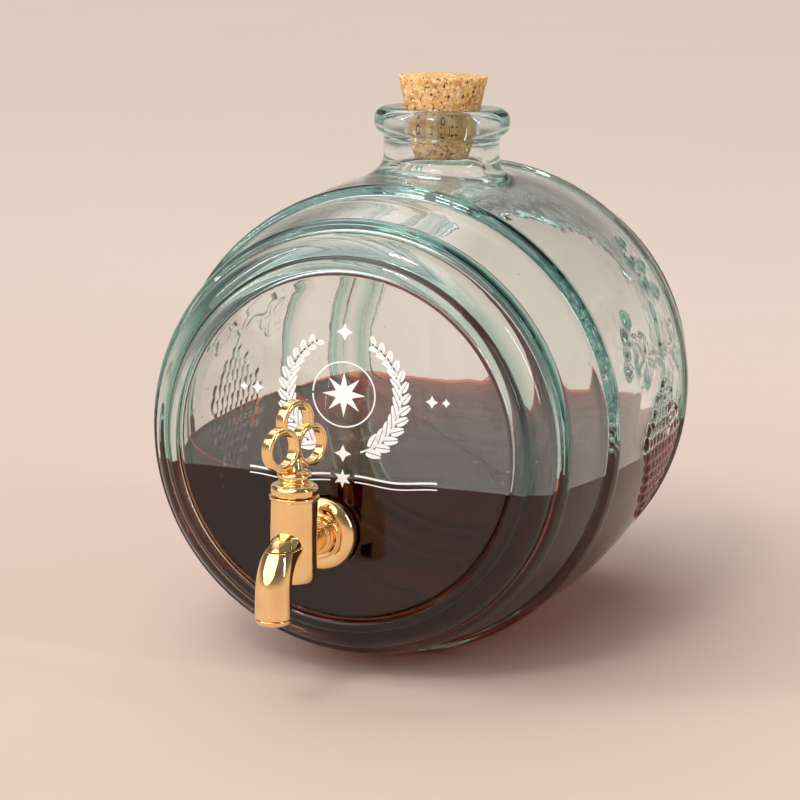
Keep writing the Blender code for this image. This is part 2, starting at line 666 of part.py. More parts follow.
def make_tap_body(group):
    profile = [
        (0, BODY_TOP),
        (BODY_LIP_RADIUS, BODY_TOP),
        (BODY_LIP_RADIUS, BODY_TOP - BODY_LIP_HEIGHT),
        (BODY_RADIUS, BODY_TOP - BODY_LIP_HEIGHT),
        (BODY_RADIUS, BODY_BOTTOM + BODY_FOOT_CHAMFER),
        (BODY_RADIUS - BODY_FOOT_CHAMFER, BODY_BOTTOM),
        (0, BODY_BOTTOM),
    ]
    body = turned("tap_body", profile, TAP_STEPS, tap_point(0))
    inlet = (TAP_SIDE_OFFSET, TAP_AXIS[1], INLET_HEIGHT)
    collar_start = (TAP_SIDE_OFFSET, COLLAR_FACE - COLLAR_THICKNESS, INLET_HEIGHT)
    face = (TAP_SIDE_OFFSET, COLLAR_FACE, INLET_HEIGHT)
    join(body, rod("hub", HUB_RADIUS, inlet, face, TAP_STEPS))
    join(body, rod("collar", COLLAR_RADIUS, collar_start, face, TAP_STEPS))
    brow = spout_bar("brow", 0, 0, SPOUT_STEP)
    reach = SPOUT_REACH + BODY_RADIUS
    under_top = tap_point(SEAM_HEIGHT + TAP_GAP / 2, -reach, reach)
    cut(brow, box("under_brow", tap_point(0, reach, -reach), under_top))
    join(body, brow)
    bore = [
        (0, BODY_TOP + OVERRUN),
        (PLUG_BORE_RADIUS, BODY_TOP + OVERRUN),
        (PLUG_BORE_RADIUS, BODY_BOTTOM + SCREW_RECESS_DEPTH),
        (SCREW_RECESS_RADIUS, BODY_BOTTOM + SCREW_RECESS_DEPTH),
        (SCREW_RECESS_RADIUS, BODY_BOTTOM - OVERRUN),
        (0, BODY_BOTTOM - OVERRUN),
    ]
    cut(body, turned("plug_bore", bore, TAP_STEPS, tap_point(0)))
    socket_end = (TAP_SIDE_OFFSET, COLLAR_FACE - SPIGOT_LENGTH, INLET_HEIGHT)
    past = (TAP_SIDE_OFFSET, COLLAR_FACE + OVERRUN, INLET_HEIGHT)
    cut(body, rod("inlet_bore", SHANK_BORE_RADIUS, inlet, past, TAP_STEPS))
    cut(body, rod("shank_socket", SPIGOT_RADIUS + TAP_GAP, socket_end, past, TAP_STEPS))
    cut(body, spout_passage("outlet_bore"))
    finish(body, "gold_plate", group)


def make_tap_spout(group):
    spout = spout_bar("tap_spout", 0, 1)
    reach = SPOUT_REACH + BODY_RADIUS
    top = BODY_TOP + BODY_RADIUS
    over_bottom = tap_point(SEAM_HEIGHT - TAP_GAP / 2, reach, -reach)
    cut(spout, box("over_spout", over_bottom, tap_point(top, -reach, reach)))
    saddle_low = tap_point(BODY_BOTTOM - BODY_RADIUS)
    cut(spout, rod("saddle", BODY_RADIUS + TAP_GAP, saddle_low, tap_point(top), TAP_STEPS))
    cut(spout, spout_passage("spout_bore"))
    socket_start = tap_point(SPOUT_END + NOZZLE_SPIGOT_LENGTH + TAP_GAP, SPOUT_REACH)
    socket_end = tap_point(SPOUT_END - OVERRUN, SPOUT_REACH)
    cut(spout, rod("nozzle_socket", NOZZLE_SPIGOT_RADIUS + TAP_GAP, socket_start, socket_end, TAP_STEPS))
    finish(spout, "gold_plate", group)


def make_spout_nozzle(group):
    """Rounded outlet lip with a spigot pressed into the spout."""
    seat = -TAP_GAP
    profile = [
        (NOZZLE_BORE_RADIUS, NOZZLE_SPIGOT_LENGTH),
        (NOZZLE_SPIGOT_RADIUS, NOZZLE_SPIGOT_LENGTH),
        (NOZZLE_SPIGOT_RADIUS, seat),
    ]
    run = SPOUT_END_RADIUS - NOZZLE_TIP_RADIUS
    for angle in ROUND_ANGLES:
        radius = NOZZLE_TIP_RADIUS + run * math.cos(angle)
        profile.append((radius, seat - NOZZLE_HEIGHT * math.sin(angle)))
    profile.append((NOZZLE_BORE_RADIUS, seat - NOZZLE_HEIGHT))
    location = tap_point(SPOUT_END, SPOUT_REACH)
    finish(turned("spout_nozzle", profile, TAP_STEPS, location, closed=True), "gold_plate", group)


# Pieces that turn with the key: made with the key's flat along X, then turned to its angle as it rests

def turn_with_key(obj, finish_name, group):
    obj.rotation_euler.z = KEY_ANGLE
    finish(obj, finish_name, group)


def cross_rod(name, radius, height, reach):
    """Bar through the tap's axis, square to the flat of the key."""
    return rod(name, radius, tap_point(height, -reach), tap_point(height, reach), SMALL_STEPS)


def oring_heights():
    upper = BODY_TOP - BODY_HEIGHT * UPPER_ORING_DEPTH_SHARE
    return {"upper": upper, "lower": (PLUG_BOTTOM + PORT_FLOOR) / 2}


def groove(height):
    """Three sides of an O-ring groove in the plug's profile."""
    floor = PLUG_RADIUS - ORING_GROOVE_DEPTH
    top = height + ORING_GROOVE_WIDTH / 2
    bottom = height - ORING_GROOVE_WIDTH / 2
    return [(PLUG_RADIUS, top), (floor, top), (floor, bottom), (PLUG_RADIUS, bottom)]


def make_valve_plug(group):
    """Plug with its cross port, two ring grooves, the key's socket and the screw's hole."""
    heights = oring_heights()
    profile = [(0, PLUG_TOP), (PLUG_RADIUS, PLUG_TOP)]
    profile += groove(heights["upper"]) + groove(heights["lower"])
    profile += [(PLUG_RADIUS, PLUG_BOTTOM), (0, PLUG_BOTTOM)]
    plug = turned("valve_plug", profile, TAP_STEPS, tap_point(0))
    socket_floor = PLUG_TOP - TANG_LENGTH - TAP_GAP
    socket_top = tap_point(PLUG_TOP + OVERRUN)
    socket = rod("socket", TANG_RADIUS + TAP_GAP, tap_point(socket_floor), socket_top, SMALL_STEPS)
    tapped_top = tap_point(SCREW_TOP + TAP_GAP)
    tapped = rod("tapped", SCREW_RADIUS + TAP_GAP, tap_point(PLUG_BOTTOM - OVERRUN), tapped_top, SMALL_STEPS)
    cut(plug, socket, tapped)
    cut(plug, cross_rod("pin_hole", PIN_RADIUS + TAP_GAP, BODY_TOP - PIN_BELOW_TOP, PLUG_RADIUS + OVERRUN))
    port_reach = PLUG_RADIUS + OVERRUN
    port = rod("port", PORT_WIDTH / 2, (0, -port_reach, 0), (0, port_reach, 0), SMALL_STEPS)
    port.location = tap_point(PORT_MIDDLE)
    port.scale = (1, 1, PORT_HEIGHT / PORT_WIDTH)
    bpy.context.view_layer.update()
    cut(plug, port)
    turn_with_key(plug, "brass", group)


def make_plug_orings(group):
    centre = PLUG_RADIUS - ORING_GROOVE_DEPTH + TAP_GAP + ORING_SECTION_RADIUS
    for place_name, height in oring_heights().items():
        step = -2 * math.pi / ORING_SIDES
        angles = [step * i for i in range(ORING_SIDES)]
        profile = [
            (centre + ORING_SECTION_RADIUS * math.cos(a), ORING_SECTION_RADIUS * math.sin(a)) for a in angles
        ]
        ring = turned("plug_oring_" + place_name, profile, TAP_STEPS, tap_point(height), closed=True)
        turn_with_key(ring, "black_rubber", group)


def make_plug_fixings(group):
    """Washer, split spring washer and screw that hold the plug up in the body."""
    recess_top = BODY_BOTTOM + SCREW_RECESS_DEPTH
    hole = SCREW_RADIUS + TAP_GAP
    washer_top = recess_top - TAP_GAP
    washer_bottom = washer_top - PLUG_WASHER_THICKNESS
    washer = washer_profile(hole, PLUG_WASHER_RADIUS, washer_bottom, washer_top)
    turn_with_key(turned("plug_washer", washer, TAP_STEPS, tap_point(0), closed=True), "steel", group)
    spring_top = washer_bottom - TAP_GAP
    spring_bottom = spring_top - SPRING_WASHER_THICKNESS
    spring_profile = washer_profile(hole, SPRING_WASHER_RADIUS, spring_bottom, spring_top)
    spring = turned("plug_spring_washer", spring_profile, SMALL_STEPS, tap_point(0), closed=True)
    slot_low = tap_point(spring_bottom - OVERRUN, SPRING_WASHER_SLOT / 2, 0)
    slot_high = tap_point(spring_top + OVERRUN, -SPRING_WASHER_SLOT / 2, SPRING_WASHER_RADIUS + OVERRUN)
    cut(spring, box("split", slot_low, slot_high))
    turn_with_key(spring, "steel", group)
    head_top = spring_bottom - TAP_GAP
    head_bottom = head_top - SCREW_HEAD_HEIGHT
    profile = [
        (0, SCREW_TOP),
        (SCREW_RADIUS, SCREW_TOP),
        (SCREW_RADIUS, head_top),
        (SCREW_HEAD_RADIUS, head_top),
        (SCREW_HEAD_RADIUS, head_bottom),
        (0, head_bottom),
    ]
    screw = turned("plug_screw", profile, SMALL_STEPS, tap_point(0))
    low = tap_point(head_bottom - OVERRUN, SCREW_SLOT_WIDTH / 2, -SCREW_HEAD_RADIUS - OVERRUN)
    high = tap_point(head_bottom + SCREW_SLOT_DEPTH, -SCREW_SLOT_WIDTH / 2, SCREW_HEAD_RADIUS + OVERRUN)
    cut(screw, box("driver_slot", low, high))
    turn_with_key(screw, "steel", group)


def make_key_pin(group):
    """Cross pin that ties the key's tang to the plug."""
    half = PLUG_RADIUS - TAP_GAP
    profile = [(0, half), (PIN_RADIUS, half), (PIN_RADIUS, -half), (0, -half)]
    location = tap_point(BODY_TOP - PIN_BELOW_TOP)
    turn_with_key(turned("key_pin", profile, SMALL_STEPS, location, ALONG_BARREL), "steel", group)


def loop_arc(centre, radius, start, end):
    """Arc with the same spacing of points as a whole ring of the trefoil."""
    steps = math.ceil(abs(end - start) * LOOP_STEPS / (2 * math.pi))
    return arc(centre, radius, start, end, steps + 1)


def trefoil_outlines():
    """Flat outlines of the grip: the outside, two whole round holes and the hole of the top ring."""
    outer = LOOP_OUTER_RADIUS - LOOP_CHAMFER
    inner = LOOP_INNER_RADIUS + LOOP_CHAMFER
    side = LOOP_SPACING / 2
    left, right, top = (-side, 0), (side, 0), (0, TOP_LOOP_RISE)
    apart = math.hypot(side, TOP_LOOP_RISE)
    to_top = math.atan2(TOP_LOOP_RISE, -side)
    to_right = to_top - math.pi
    notch = math.acos((side - LOOP_WEB / 2) / outer)
    shared = math.acos(apart / 2 / outer)
    hole_swing = math.acos((apart ** 2 + inner ** 2 - outer ** 2) / (2 * apart * inner))
    ring_swing = math.acos((apart ** 2 + outer ** 2 - inner ** 2) / (2 * apart * outer))
    outside = loop_arc(right, outer, notch - math.pi, to_top - shared)
    outside += loop_arc(top, outer, to_right + shared, math.pi - to_right - shared)[1:]
    outside += loop_arc(left, outer, math.pi - to_top + shared, 2 * math.pi - notch)[1:]
    top_hole = loop_arc(top, inner, to_right + hole_swing, math.pi - to_right - hole_swing)
    top_hole += loop_arc(left, outer, math.pi - to_top + ring_swing, notch)[1:]
    top_hole += loop_arc(right, outer, math.pi - notch, to_top - ring_swing)[:-1]
    holes = [loop_arc(centre, inner, 0, 2 * math.pi)[:-1] for centre in (left, right)]
    return [outside, top_hole] + holes


def trefoil_plate(height):
    """Grip cut from its outlines, chamfered all round, standing on the tap's axis."""
    curve = bpy.data.curves.new("trefoil", "CURVE")
    curve.dimensions = "2D"
    curve.fill_mode = "BOTH"
    curve.extrude = LOOP_THICKNESS / 2 - LOOP_CHAMFER
    curve.bevel_depth = LOOP_CHAMFER
    curve.bevel_resolution = 0
    for outline in trefoil_outlines():
        spline = curve.splines.new("POLY")
        spline.points.add(len(outline) - 1)
        spline.use_cyclic_u = True
        for point, (x, y) in zip(spline.points, outline):
            point.co = (x, y, 0, 1)
    return welded(place("trefoil_guide", curve, tap_point(height), ALONG_BARREL), "trefoil")


def key_stem():
    """Turned stem of the key: tang, shoulder cap, ring, bead and the taper between the rings."""
    shoulder_bottom = BODY_TOP + PLUG_RUNNING_GAP
    ring_bottom = shoulder_bottom + SHOULDER_HEIGHT
    bead_bottom = ring_bottom + STEM_RING_HEIGHT
    bead_top = bead_bottom + BEAD_HEIGHT
    bead_round = BEAD_HEIGHT / 2
    cap_round = SHOULDER_HEIGHT / 2
    stem_top = bead_top + STEM_HEIGHT
    profile = [(0, stem_top), (STEM_TIP_RADIUS, stem_top), (STEM_RADIUS, bead_top)]
    bead_centre = (BEAD_RADIUS - bead_round, bead_top - bead_round)
    profile += arc(bead_centre, bead_round, QUARTER, -QUARTER, BEAD_POINTS)
    profile += [(STEM_RING_RADIUS, bead_bottom), (STEM_RING_RADIUS, ring_bottom)]
    cap_centre = (SHOULDER_RADIUS - cap_round, ring_bottom - cap_round)
    profile += arc(cap_centre, cap_round, QUARTER, ROUND_STEP - QUARTER, BEAD_POINTS)
    tang_end = PLUG_TOP - TANG_LENGTH
    profile += [
        (SHOULDER_RADIUS - cap_round, shoulder_bottom),
        (TANG_RADIUS, shoulder_bottom),
        (TANG_RADIUS, tang_end),
        (0, tang_end),
    ]
    return profile, bead_top


def make_key_handle(group):
    """Trefoil grip: two whole rings below, and a third that closes on them from above."""
    profile, bead_top = key_stem()
    key = turned("key_handle", profile, TAP_STEPS, tap_point(0))
    cut(key, cross_rod("tang_hole", PIN_RADIUS + TAP_GAP, BODY_TOP - PIN_BELOW_TOP, PLUG_RADIUS))
    join(key, trefoil_plate(bead_top + LOOP_CLEAR_OF_BEAD + LOOP_OUTER_RADIUS))
    turn_with_key(key, "gold_plate", group)


def main():
    clear_scene()
    group = bpy.data.collections.new("glass_whisky_barrel")
    bpy.context.scene.collection.children.link(group)
    make_glass_barrel(group)
    make_whisky_fill(group)
    make_cork_stopper(group)
    make_gaskets_and_washer(group)
    make_hex_nut(group)
    make_rosette(group)
    make_shank(group)
    make_tap_body(group)
    make_tap_spout(group)
    make_spout_nozzle(group)
    make_valve_plug(group)
    make_plug_orings(group)
    make_plug_fixings(group)
    make_key_pin(group)
    make_key_handle(group)


main()
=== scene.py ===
"""Glass whisky barrel with a plug tap and a tapered cork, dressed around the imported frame."""

import math

import bmesh
import bpy
import numpy as np
from mathutils import Matrix, Vector, geometry


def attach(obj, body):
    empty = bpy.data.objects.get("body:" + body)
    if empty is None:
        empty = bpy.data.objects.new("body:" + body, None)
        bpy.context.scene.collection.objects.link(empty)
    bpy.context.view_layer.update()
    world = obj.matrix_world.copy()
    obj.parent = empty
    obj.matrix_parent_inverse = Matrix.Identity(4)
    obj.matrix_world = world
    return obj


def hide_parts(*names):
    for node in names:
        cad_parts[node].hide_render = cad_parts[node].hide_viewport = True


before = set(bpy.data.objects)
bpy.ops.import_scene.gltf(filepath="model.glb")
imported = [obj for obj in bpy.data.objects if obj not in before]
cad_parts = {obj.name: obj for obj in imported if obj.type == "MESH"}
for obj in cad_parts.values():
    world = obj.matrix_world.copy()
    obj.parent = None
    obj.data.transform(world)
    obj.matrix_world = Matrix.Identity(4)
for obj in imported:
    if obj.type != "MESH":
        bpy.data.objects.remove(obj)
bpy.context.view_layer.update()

MM = 0.001
QUARTER = math.pi / 2
FULL_TURN = 2 * math.pi
ON_AXIS = 1e-7

# Barrel
BELLY_RADIUS = 0.0870
HALF_LENGTH = 0.1001
STAVE_FALL = 0.0161
STAVE_CURVE_POWER = 2.19
STAVE_REACH = 0.0960
WALL = 0.0050
HEAD_WALL = 0.0055
INNER_CORNER_RADIUS = 0.0130
INNER_HOOP = 0.0530
OUTER_HOOP = 0.0873
HOOP_WIDTH = 0.0064
HOOP_RISE = 0.0023
HOOP_SHOULDER = 0.0005
CHIME_RADIUS = 0.0656
CHIME_RISE = 0.0014
CHIME_ROUNDING = 0.0030
CHIME_SWING = QUARTER + 0.52
HEAD_RADIUS = 0.0592
HEAD_RIM_BAND = 0.0035
HEAD_GROOVE_WIDTH = 0.0016
HEAD_GROOVE_DEPTH = 0.0012
AXIS_HEIGHT = 0.0835
FOOT_SOFTNESS = 0.0006

# Neck
LIP_TOP = 0.1920
LIP_RADIUS = 0.0251
LIP_HEIGHT = 0.0100
LIP_ROUNDING = 0.0042
NECK_RADIUS = 0.0215
NECK_FOOT = 0.1732
NECK_SKIRT_RADIUS = 0.0286
BORE_RADIUS = 0.0158
MOUTH_RADIUS = 0.0143
MOUTH_ROUNDING = 0.0015
THROAT_TOP = 0.1705
THROAT_SKIRT_RADIUS = 0.0208

# The square patch of the barrel's grid that carries the neck
NECK_BLOCK = 0.0243
THROAT_BLOCK = 0.0180
BLOCK_ROWS = 46
BLOCK_COLUMNS = 24
PATCH_REACH = 1.8
PATCH_GROWTH = 0.55
SKIRT_RINGS = 9
THROAT_RINGS = 6
BORE_RINGS = 8

# Drink and tap
LIQUID_LEVEL = 0.0712
LIQUID_OVERLAP = 0.00012
MENISCUS_CLIMB = 0.0008
MENISCUS_STEPS = ((0.00035, 0.00040), (0.0009, 0.00062), (0.0018, 0.00074), (0.0032, 0.0008))
WET_LINE = LIQUID_LEVEL + 0.0007
TAP_SIDE = -0.0065
TAP_AXIS_Y = -0.12875
INLET_HEIGHT = 0.0533
OUTLET_HEIGHT = 0.0559
BODY_TOP = 0.0725
BODY_BOTTOM = 0.0435
BODY_RADIUS = 0.00795
SEAM_HEIGHT = 0.0567
SPOUT_START = 0.0055
SPOUT_BEND_RADIUS = 0.0120
SPOUT_END = 0.0351
TAP_HOLE_RADIUS = 0.0050
KEY_ANGLE = math.radians(68)

TEAL_ABSORPTION = (0.16, 0.80, 0.74)
TEAL_DENSITY = 8
HOOP_TEAL = (0.07, 0.42, 0.35)
DRINK_ABSORPTION = (0.91, 0.38, 0.18)
DRINK_DENSITY = 200
GLASS_IOR = 1.52
DRINK_IOR = 1.36


# Camera

LENS = 117
SENSOR_WIDTH = 36
EYE = (0.2977, -0.9127, 0.2726)
CAMERA_TURN = math.radians(18.86)
CAMERA_TILT = math.radians(90 - 11.25)
CAMERA_ROLL = math.radians(1.24)


def placed(name, data):
    """A new object in the scene, at the origin."""
    made = bpy.data.objects.new(name, data)
    bpy.context.scene.collection.objects.link(made)
    return made


def set_camera():
    """Eye at the front and a little to the right, looking slightly down."""
    data = bpy.data.cameras.new("camera")
    data.lens = LENS
    data.sensor_width = SENSOR_WIDTH
    data.clip_end = 40
    camera = placed("camera", data)
    turn = Matrix.Rotation(CAMERA_TURN, 4, "Z")
    tilt = Matrix.Rotation(CAMERA_TILT, 4, "X")
    roll = Matrix.Rotation(CAMERA_ROLL, 4, "Z")
    camera.matrix_world = Matrix.Translation(EYE) @ turn @ tilt @ roll
    bpy.context.scene.camera = camera


set_camera()


# Mesh helpers

def make_piece(name, vertices, faces, material, smooth=True):
    mesh = bpy.data.meshes.new(name)
    mesh.from_pydata([tuple(v) for v in vertices], [], [tuple(f) for f in faces])
    mesh.validate()
    mesh.materials.append(material)
    if smooth:
        mesh.shade_smooth()
    return placed(name, mesh)


def face_outwards(piece, merge=0.000002):
    work = bmesh.new()
    work.from_mesh(piece.data)
    bmesh.ops.remove_doubles(work, verts=work.verts, dist=merge)
    bmesh.ops.recalc_face_normals(work, faces=work.faces)
    work.to_mesh(piece.data)
    work.free()
    piece.data.shade_smooth()


def as_mesh(piece):
    """A plain mesh of what the piece is after its modifiers."""
    depsgraph = bpy.context.evaluated_depsgraph_get()
    return bpy.data.meshes.new_from_object(piece.evaluated_get(depsgraph), depsgraph=depsgraph)


def baked(piece):
    """The piece with its modifiers worked into the mesh."""
    mesh = as_mesh(piece)
    piece.modifiers.clear()
    piece.data = mesh
    return piece


def even_normals(piece):
    """Lets the large faces set the shading, so that small roundings don't pillow them."""
    modifier = piece.modifiers.new("even", "WEIGHTED_NORMAL")
    modifier.mode = "FACE_AREA"
    modifier.keep_sharp = True
    return baked(piece)


def merged(name, pieces):
    """Several closed shells as one piece."""
    vertices, faces = [], []
    for piece in pieces:
        start = len(vertices)
        vertices += [tuple(v.co) for v in piece.data.vertices]
        faces += [tuple(start + i for i in p.vertices) for p in piece.data.polygons]
    material = pieces[0].data.materials[0]
    for piece in pieces:
        bpy.data.objects.remove(piece)
    return make_piece(name, vertices, faces, material)


def cut_flat(work, height, keep_above, precision):
    """Cuts the mesh level, drops one side of it and returns what lies on the cut."""
    cut = bmesh.ops.bisect_plane(
        work, geom=work.verts[:] + work.edges[:] + work.faces[:], dist=precision,
        plane_co=(0, 0, height), plane_no=(0, 0, 1), clear_outer=not keep_above, clear_inner=keep_above,
    )
    return cut["geom_cut"]


def band(first, second):
    """Four-sided faces that join two closed loops with as many corners."""
    count = len(first)
    return [(first[i], first[(i + 1) % count], second[(i + 1) % count], second[i]) for i in range(count)]


def arc(centre, radius, start, end, points):
    step = (end - start) / (points - 1)
    return [
        (centre[0] + radius * math.cos(start + step * i), centre[1] + radius * math.sin(start + step * i))
        for i in range(points)
    ]


def eased(points, radius, steps=4):
    """A closed profile with its corners rounded and a support point on each side of the rounding."""
    longest_share, support_share = 0.4, 0.2
    too_short, nearly_straight = 0.00001, math.radians(170)
    result = []
    for i, point in enumerate(points):
        here = Vector(point)
        before = Vector(points[i - 1]) - here
        after = Vector(points[(i + 1) % len(points)]) - here
        reach = min(radius, before.length * longest_share, after.length * longest_share)
        if reach < too_short or before.angle(after) > nearly_straight:
            result.append(tuple(point))
            continue
        start = here + before.normalized() * reach
        end = here + after.normalized() * reach
        result.append(tuple(start + before.normalized() * reach * support_share))
        for k in range(steps + 1):
            t = k / steps
            result.append(tuple(start * (1 - t) ** 2 + here * 2 * t * (1 - t) + end * t ** 2))
        result.append(tuple(end + after.normalized() * reach * support_share))
    return result


def turned(name, profile, steps, material, closed=False, origin=(0, 0, 0), along_barrel=False):
    """Profile of (radius, height) turned round its axis; along the barrel, height points forwards."""
    angles = np.arange(steps) * FULL_TURN / steps
    vertices, rows = [], []
    for radius, height in profile:
        if radius < ON_AXIS:
            rows.append([len(vertices)] * steps)
            vertices.append((0, 0, height))
            continue
        rows.append([len(vertices) + i for i in range(steps)])
        vertices += [(radius * math.cos(a), radius * math.sin(a), height) for a in angles]
    pairs = list(zip(rows, rows[1:]))
    if closed:
        pairs.append((rows[-1], rows[0]))
    faces = []
    for low, high in pairs:
        corners = [list(dict.fromkeys(face)) for face in band(low, high)]
        faces += [face for face in corners if len(face) > 2]
    points = np.array(vertices)
    if along_barrel:
        points = np.stack([points[:, 0], -points[:, 2], points[:, 1]], axis=1)
    piece = make_piece(name, points + np.array(origin), faces, material)
    face_outwards(piece)
    return piece


# Material helpers

def node(tree, kind, values=None, **settings):
    made = tree.nodes.new(kind)
    for key, value in settings.items():
        setattr(made, key, value)
    for key, value in (values or {}).items():
        made.inputs[key].default_value = value
    return made


def link(tree, source, target):
    tree.links.new(source, target)


def start_material(name, values):
    """A material with the fixed values of its shader set, and the place on the piece to build on."""
    material = bpy.data.materials.new(name)
    material.use_nodes = True
    tree = material.node_tree
    shader = tree.nodes["Principled BSDF"]
    for key, value in values.items():
        shader.inputs[key].default_value = value
    coordinates = node(tree, "ShaderNodeTexCoord")
    return material, tree, shader, coordinates.outputs["Object"]


def noise(tree, place, scale, detail=3, roughness=0.5, distortion=0):
    made = node(tree, "ShaderNodeTexNoise", {
        "Scale": scale, "Detail": detail, "Roughness": roughness, "Distortion": distortion,
    })
    link(tree, place, made.inputs["Vector"])
    return made.outputs["Fac"]


def spread(tree, value, low, high, start=0.0, end=1.0, easing="LINEAR"):
    """A value that runs from start to end, made to run from low to high."""
    made = node(tree, "ShaderNodeMapRange", {
        "From Min": start, "From Max": end, "To Min": low, "To Max": high,
    }, interpolation_type=easing)
    link(tree, value, made.inputs["Value"])
    return made.outputs["Result"]


def maths(tree, operation, first, second):
    made = node(tree, "ShaderNodeMath", operation=operation)
    for socket, value in zip(made.inputs, (first, second)):
        if isinstance(value, (int, float)):
            socket.default_value = value
        else:
            link(tree, value, socket)
    return made.outputs["Value"]


def attribute(tree, name):
    return node(tree, "ShaderNodeAttribute", attribute_name=name).outputs["Fac"]


def part_of(tree, vector, axis):
    """One of the three numbers of a vector."""
    made = node(tree, "ShaderNodeSeparateXYZ")
    link(tree, vector, made.inputs["Vector"])
    return made.outputs[axis]


def ramp(tree, value, stops):
    made = node(tree, "ShaderNodeValToRGB")
    elements = made.color_ramp.elements
    while len(elements) < len(stops):
        elements.new(0.5)
    for element, (position, colour) in zip(elements, stops):
        element.position = position
        element.color = (*colour, 1)
    link(tree, value, made.inputs["Fac"])
    return made.outputs["Color"]


def two_tones(tree, value, first, second):
    """The first colour where the value is under 0.3, the second where it is over 0.7."""
    return ramp(tree, value, [(0.3, first), (0.7, second)])


def mix_colour(tree, share, first, second, blend="MIX"):
    made = node(tree, "ShaderNodeMix", data_type="RGBA", blend_type=blend)
    sockets = (made.inputs[0], made.inputs[6], made.inputs[7])
    for socket, value in zip(sockets, (share, first, second)):
        if isinstance(value, (int, float)):
            socket.default_value = value
        elif isinstance(value, tuple):
            socket.default_value = (*value, 1)
        else:
            link(tree, value, socket)
    return made.outputs[2]


def bump(tree, shader, height, distance):
    made = node(tree, "ShaderNodeBump", {"Strength": 1.0, "Distance": distance})
    link(tree, height, made.inputs["Height"])
    link(tree, made.outputs["Normal"], shader.inputs["Normal"])


def absorb(tree, colour, density):
    """Colours what is seen through the piece by how far the light goes in it."""
    made = node(tree, "ShaderNodeVolumeAbsorption", {"Color": (*colour, 1), "Density": density})
    link(tree, made.outputs["Volume"], tree.nodes["Material Output"].inputs["Volume"])


# Finishes

def moulded_glass():
    """Thick pressed glass: smooth outside, wavy inside, teal through its depth."""
    material, tree, shader, place = start_material("moulded_glass", {
        "Transmission Weight": 1, "IOR": GLASS_IOR,
    })
    inside = attribute(tree, "inside")
    under = maths(tree, "LESS_THAN", part_of(tree, place, "Z"), WET_LINE)
    wetted = maths(tree, "MULTIPLY", under, maths(tree, "GREATER_THAN", inside, 0.5))
    link(tree, spread(tree, wetted, GLASS_IOR, GLASS_IOR / DRINK_IOR), shader.inputs["IOR"])
    tint = two_tones(tree, noise(tree, place, scale=14), (0.972, 0.988, 0.982), (0.985, 0.995, 0.992))
    tinted = mix_colour(tree, attribute(tree, "thick"), tint, HOOP_TEAL)
    link(tree, tinted, shader.inputs["Base Color"])
    smear = noise(tree, place, scale=38, detail=5, roughness=0.6)
    link(tree, spread(tree, smear, 0.0, 0.018), shader.inputs["Roughness"])
    swell = noise(tree, place, scale=52, detail=2)
    ripple = noise(tree, place, scale=190, detail=2)
    swell = maths(tree, "MULTIPLY", swell, spread(tree, inside, 0.00003, 0.00007))
    ripple = maths(tree, "MULTIPLY", ripple, spread(tree, inside, 0.000006, 0.000013))
    seeds = node(tree, "ShaderNodeTexVoronoi", {"Scale": 130, "Randomness": 1})
    link(tree, place, seeds.inputs["Vector"])
    seed = spread(tree, seeds.outputs["Distance"], 0.0, 0.0001, start=0.05, end=0.02)
    bump(tree, shader, maths(tree, "ADD", maths(tree, "ADD", swell, ripple), seed), 1.0)
    absorb(tree, TEAL_ABSORPTION, TEAL_DENSITY)
    return material


def dark_whisky():
    """Deep amber drink, nearly black through its full depth and red where it is thin."""
    material, tree, shader, place = start_material("dark_whisky", {
        "Transmission Weight": 1, "Roughness": 0, "IOR": DRINK_IOR,
    })
    open_face = attribute(tree, "open_face")
    link(tree, spread(tree, open_face, 1.0, DRINK_IOR), shader.inputs["IOR"])
    murk = two_tones(tree, noise(tree, place, scale=26), (0.76, 0.32, 0.20), (0.86, 0.40, 0.26))
    link(tree, murk, shader.inputs["Base Color"])
    still = maths(tree, "MULTIPLY", noise(tree, place, scale=30, detail=1), open_face)
    bump(tree, shader, still, 0.00002)
    absorb(tree, DRINK_ABSORPTION, DRINK_DENSITY)
    return material


def frosted_ornament():
    """Ground white glass of the ornament on the head."""
    material, tree, shader, place = start_material("frosted_ornament", {
        "Subsurface Weight": 0.15, "Subsurface Radius": (0.001, 0.001, 0.001),
    })
    grain = noise(tree, place, scale=2600, detail=4, roughness=0.7)
    cloud = noise(tree, place, scale=90)
    white = mix_colour(tree, cloud, (0.86, 0.87, 0.87), (0.95, 0.955, 0.95))
    link(tree, white, shader.inputs["Base Color"])
    link(tree, spread(tree, grain, 0.5, 0.8), shader.inputs["Roughness"])
    bump(tree, shader, grain, 0.00003)
    return material


def polished_gold():
    """Gold plate on a casting: slight swells under the polish, faint smears and hairlines."""
    material, tree, shader, place = start_material("polished_gold", {"Metallic": 1})
    tone = two_tones(tree, noise(tree, place, scale=120, detail=4), (0.93, 0.60, 0.28), (0.99, 0.73, 0.36))
    link(tree, tone, shader.inputs["Base Color"])
    smear = noise(tree, place, scale=340, detail=5, roughness=0.65, distortion=0.8)
    link(tree, spread(tree, smear, 0.02, 0.13), shader.inputs["Roughness"])
    swell = maths(tree, "MULTIPLY", noise(tree, place, scale=210, detail=1), 0.00011)
    grain = maths(tree, "MULTIPLY", noise(tree, place, scale=2400), 0.0000012)
    bump(tree, shader, maths(tree, "ADD", swell, grain), 1.0)
    return material


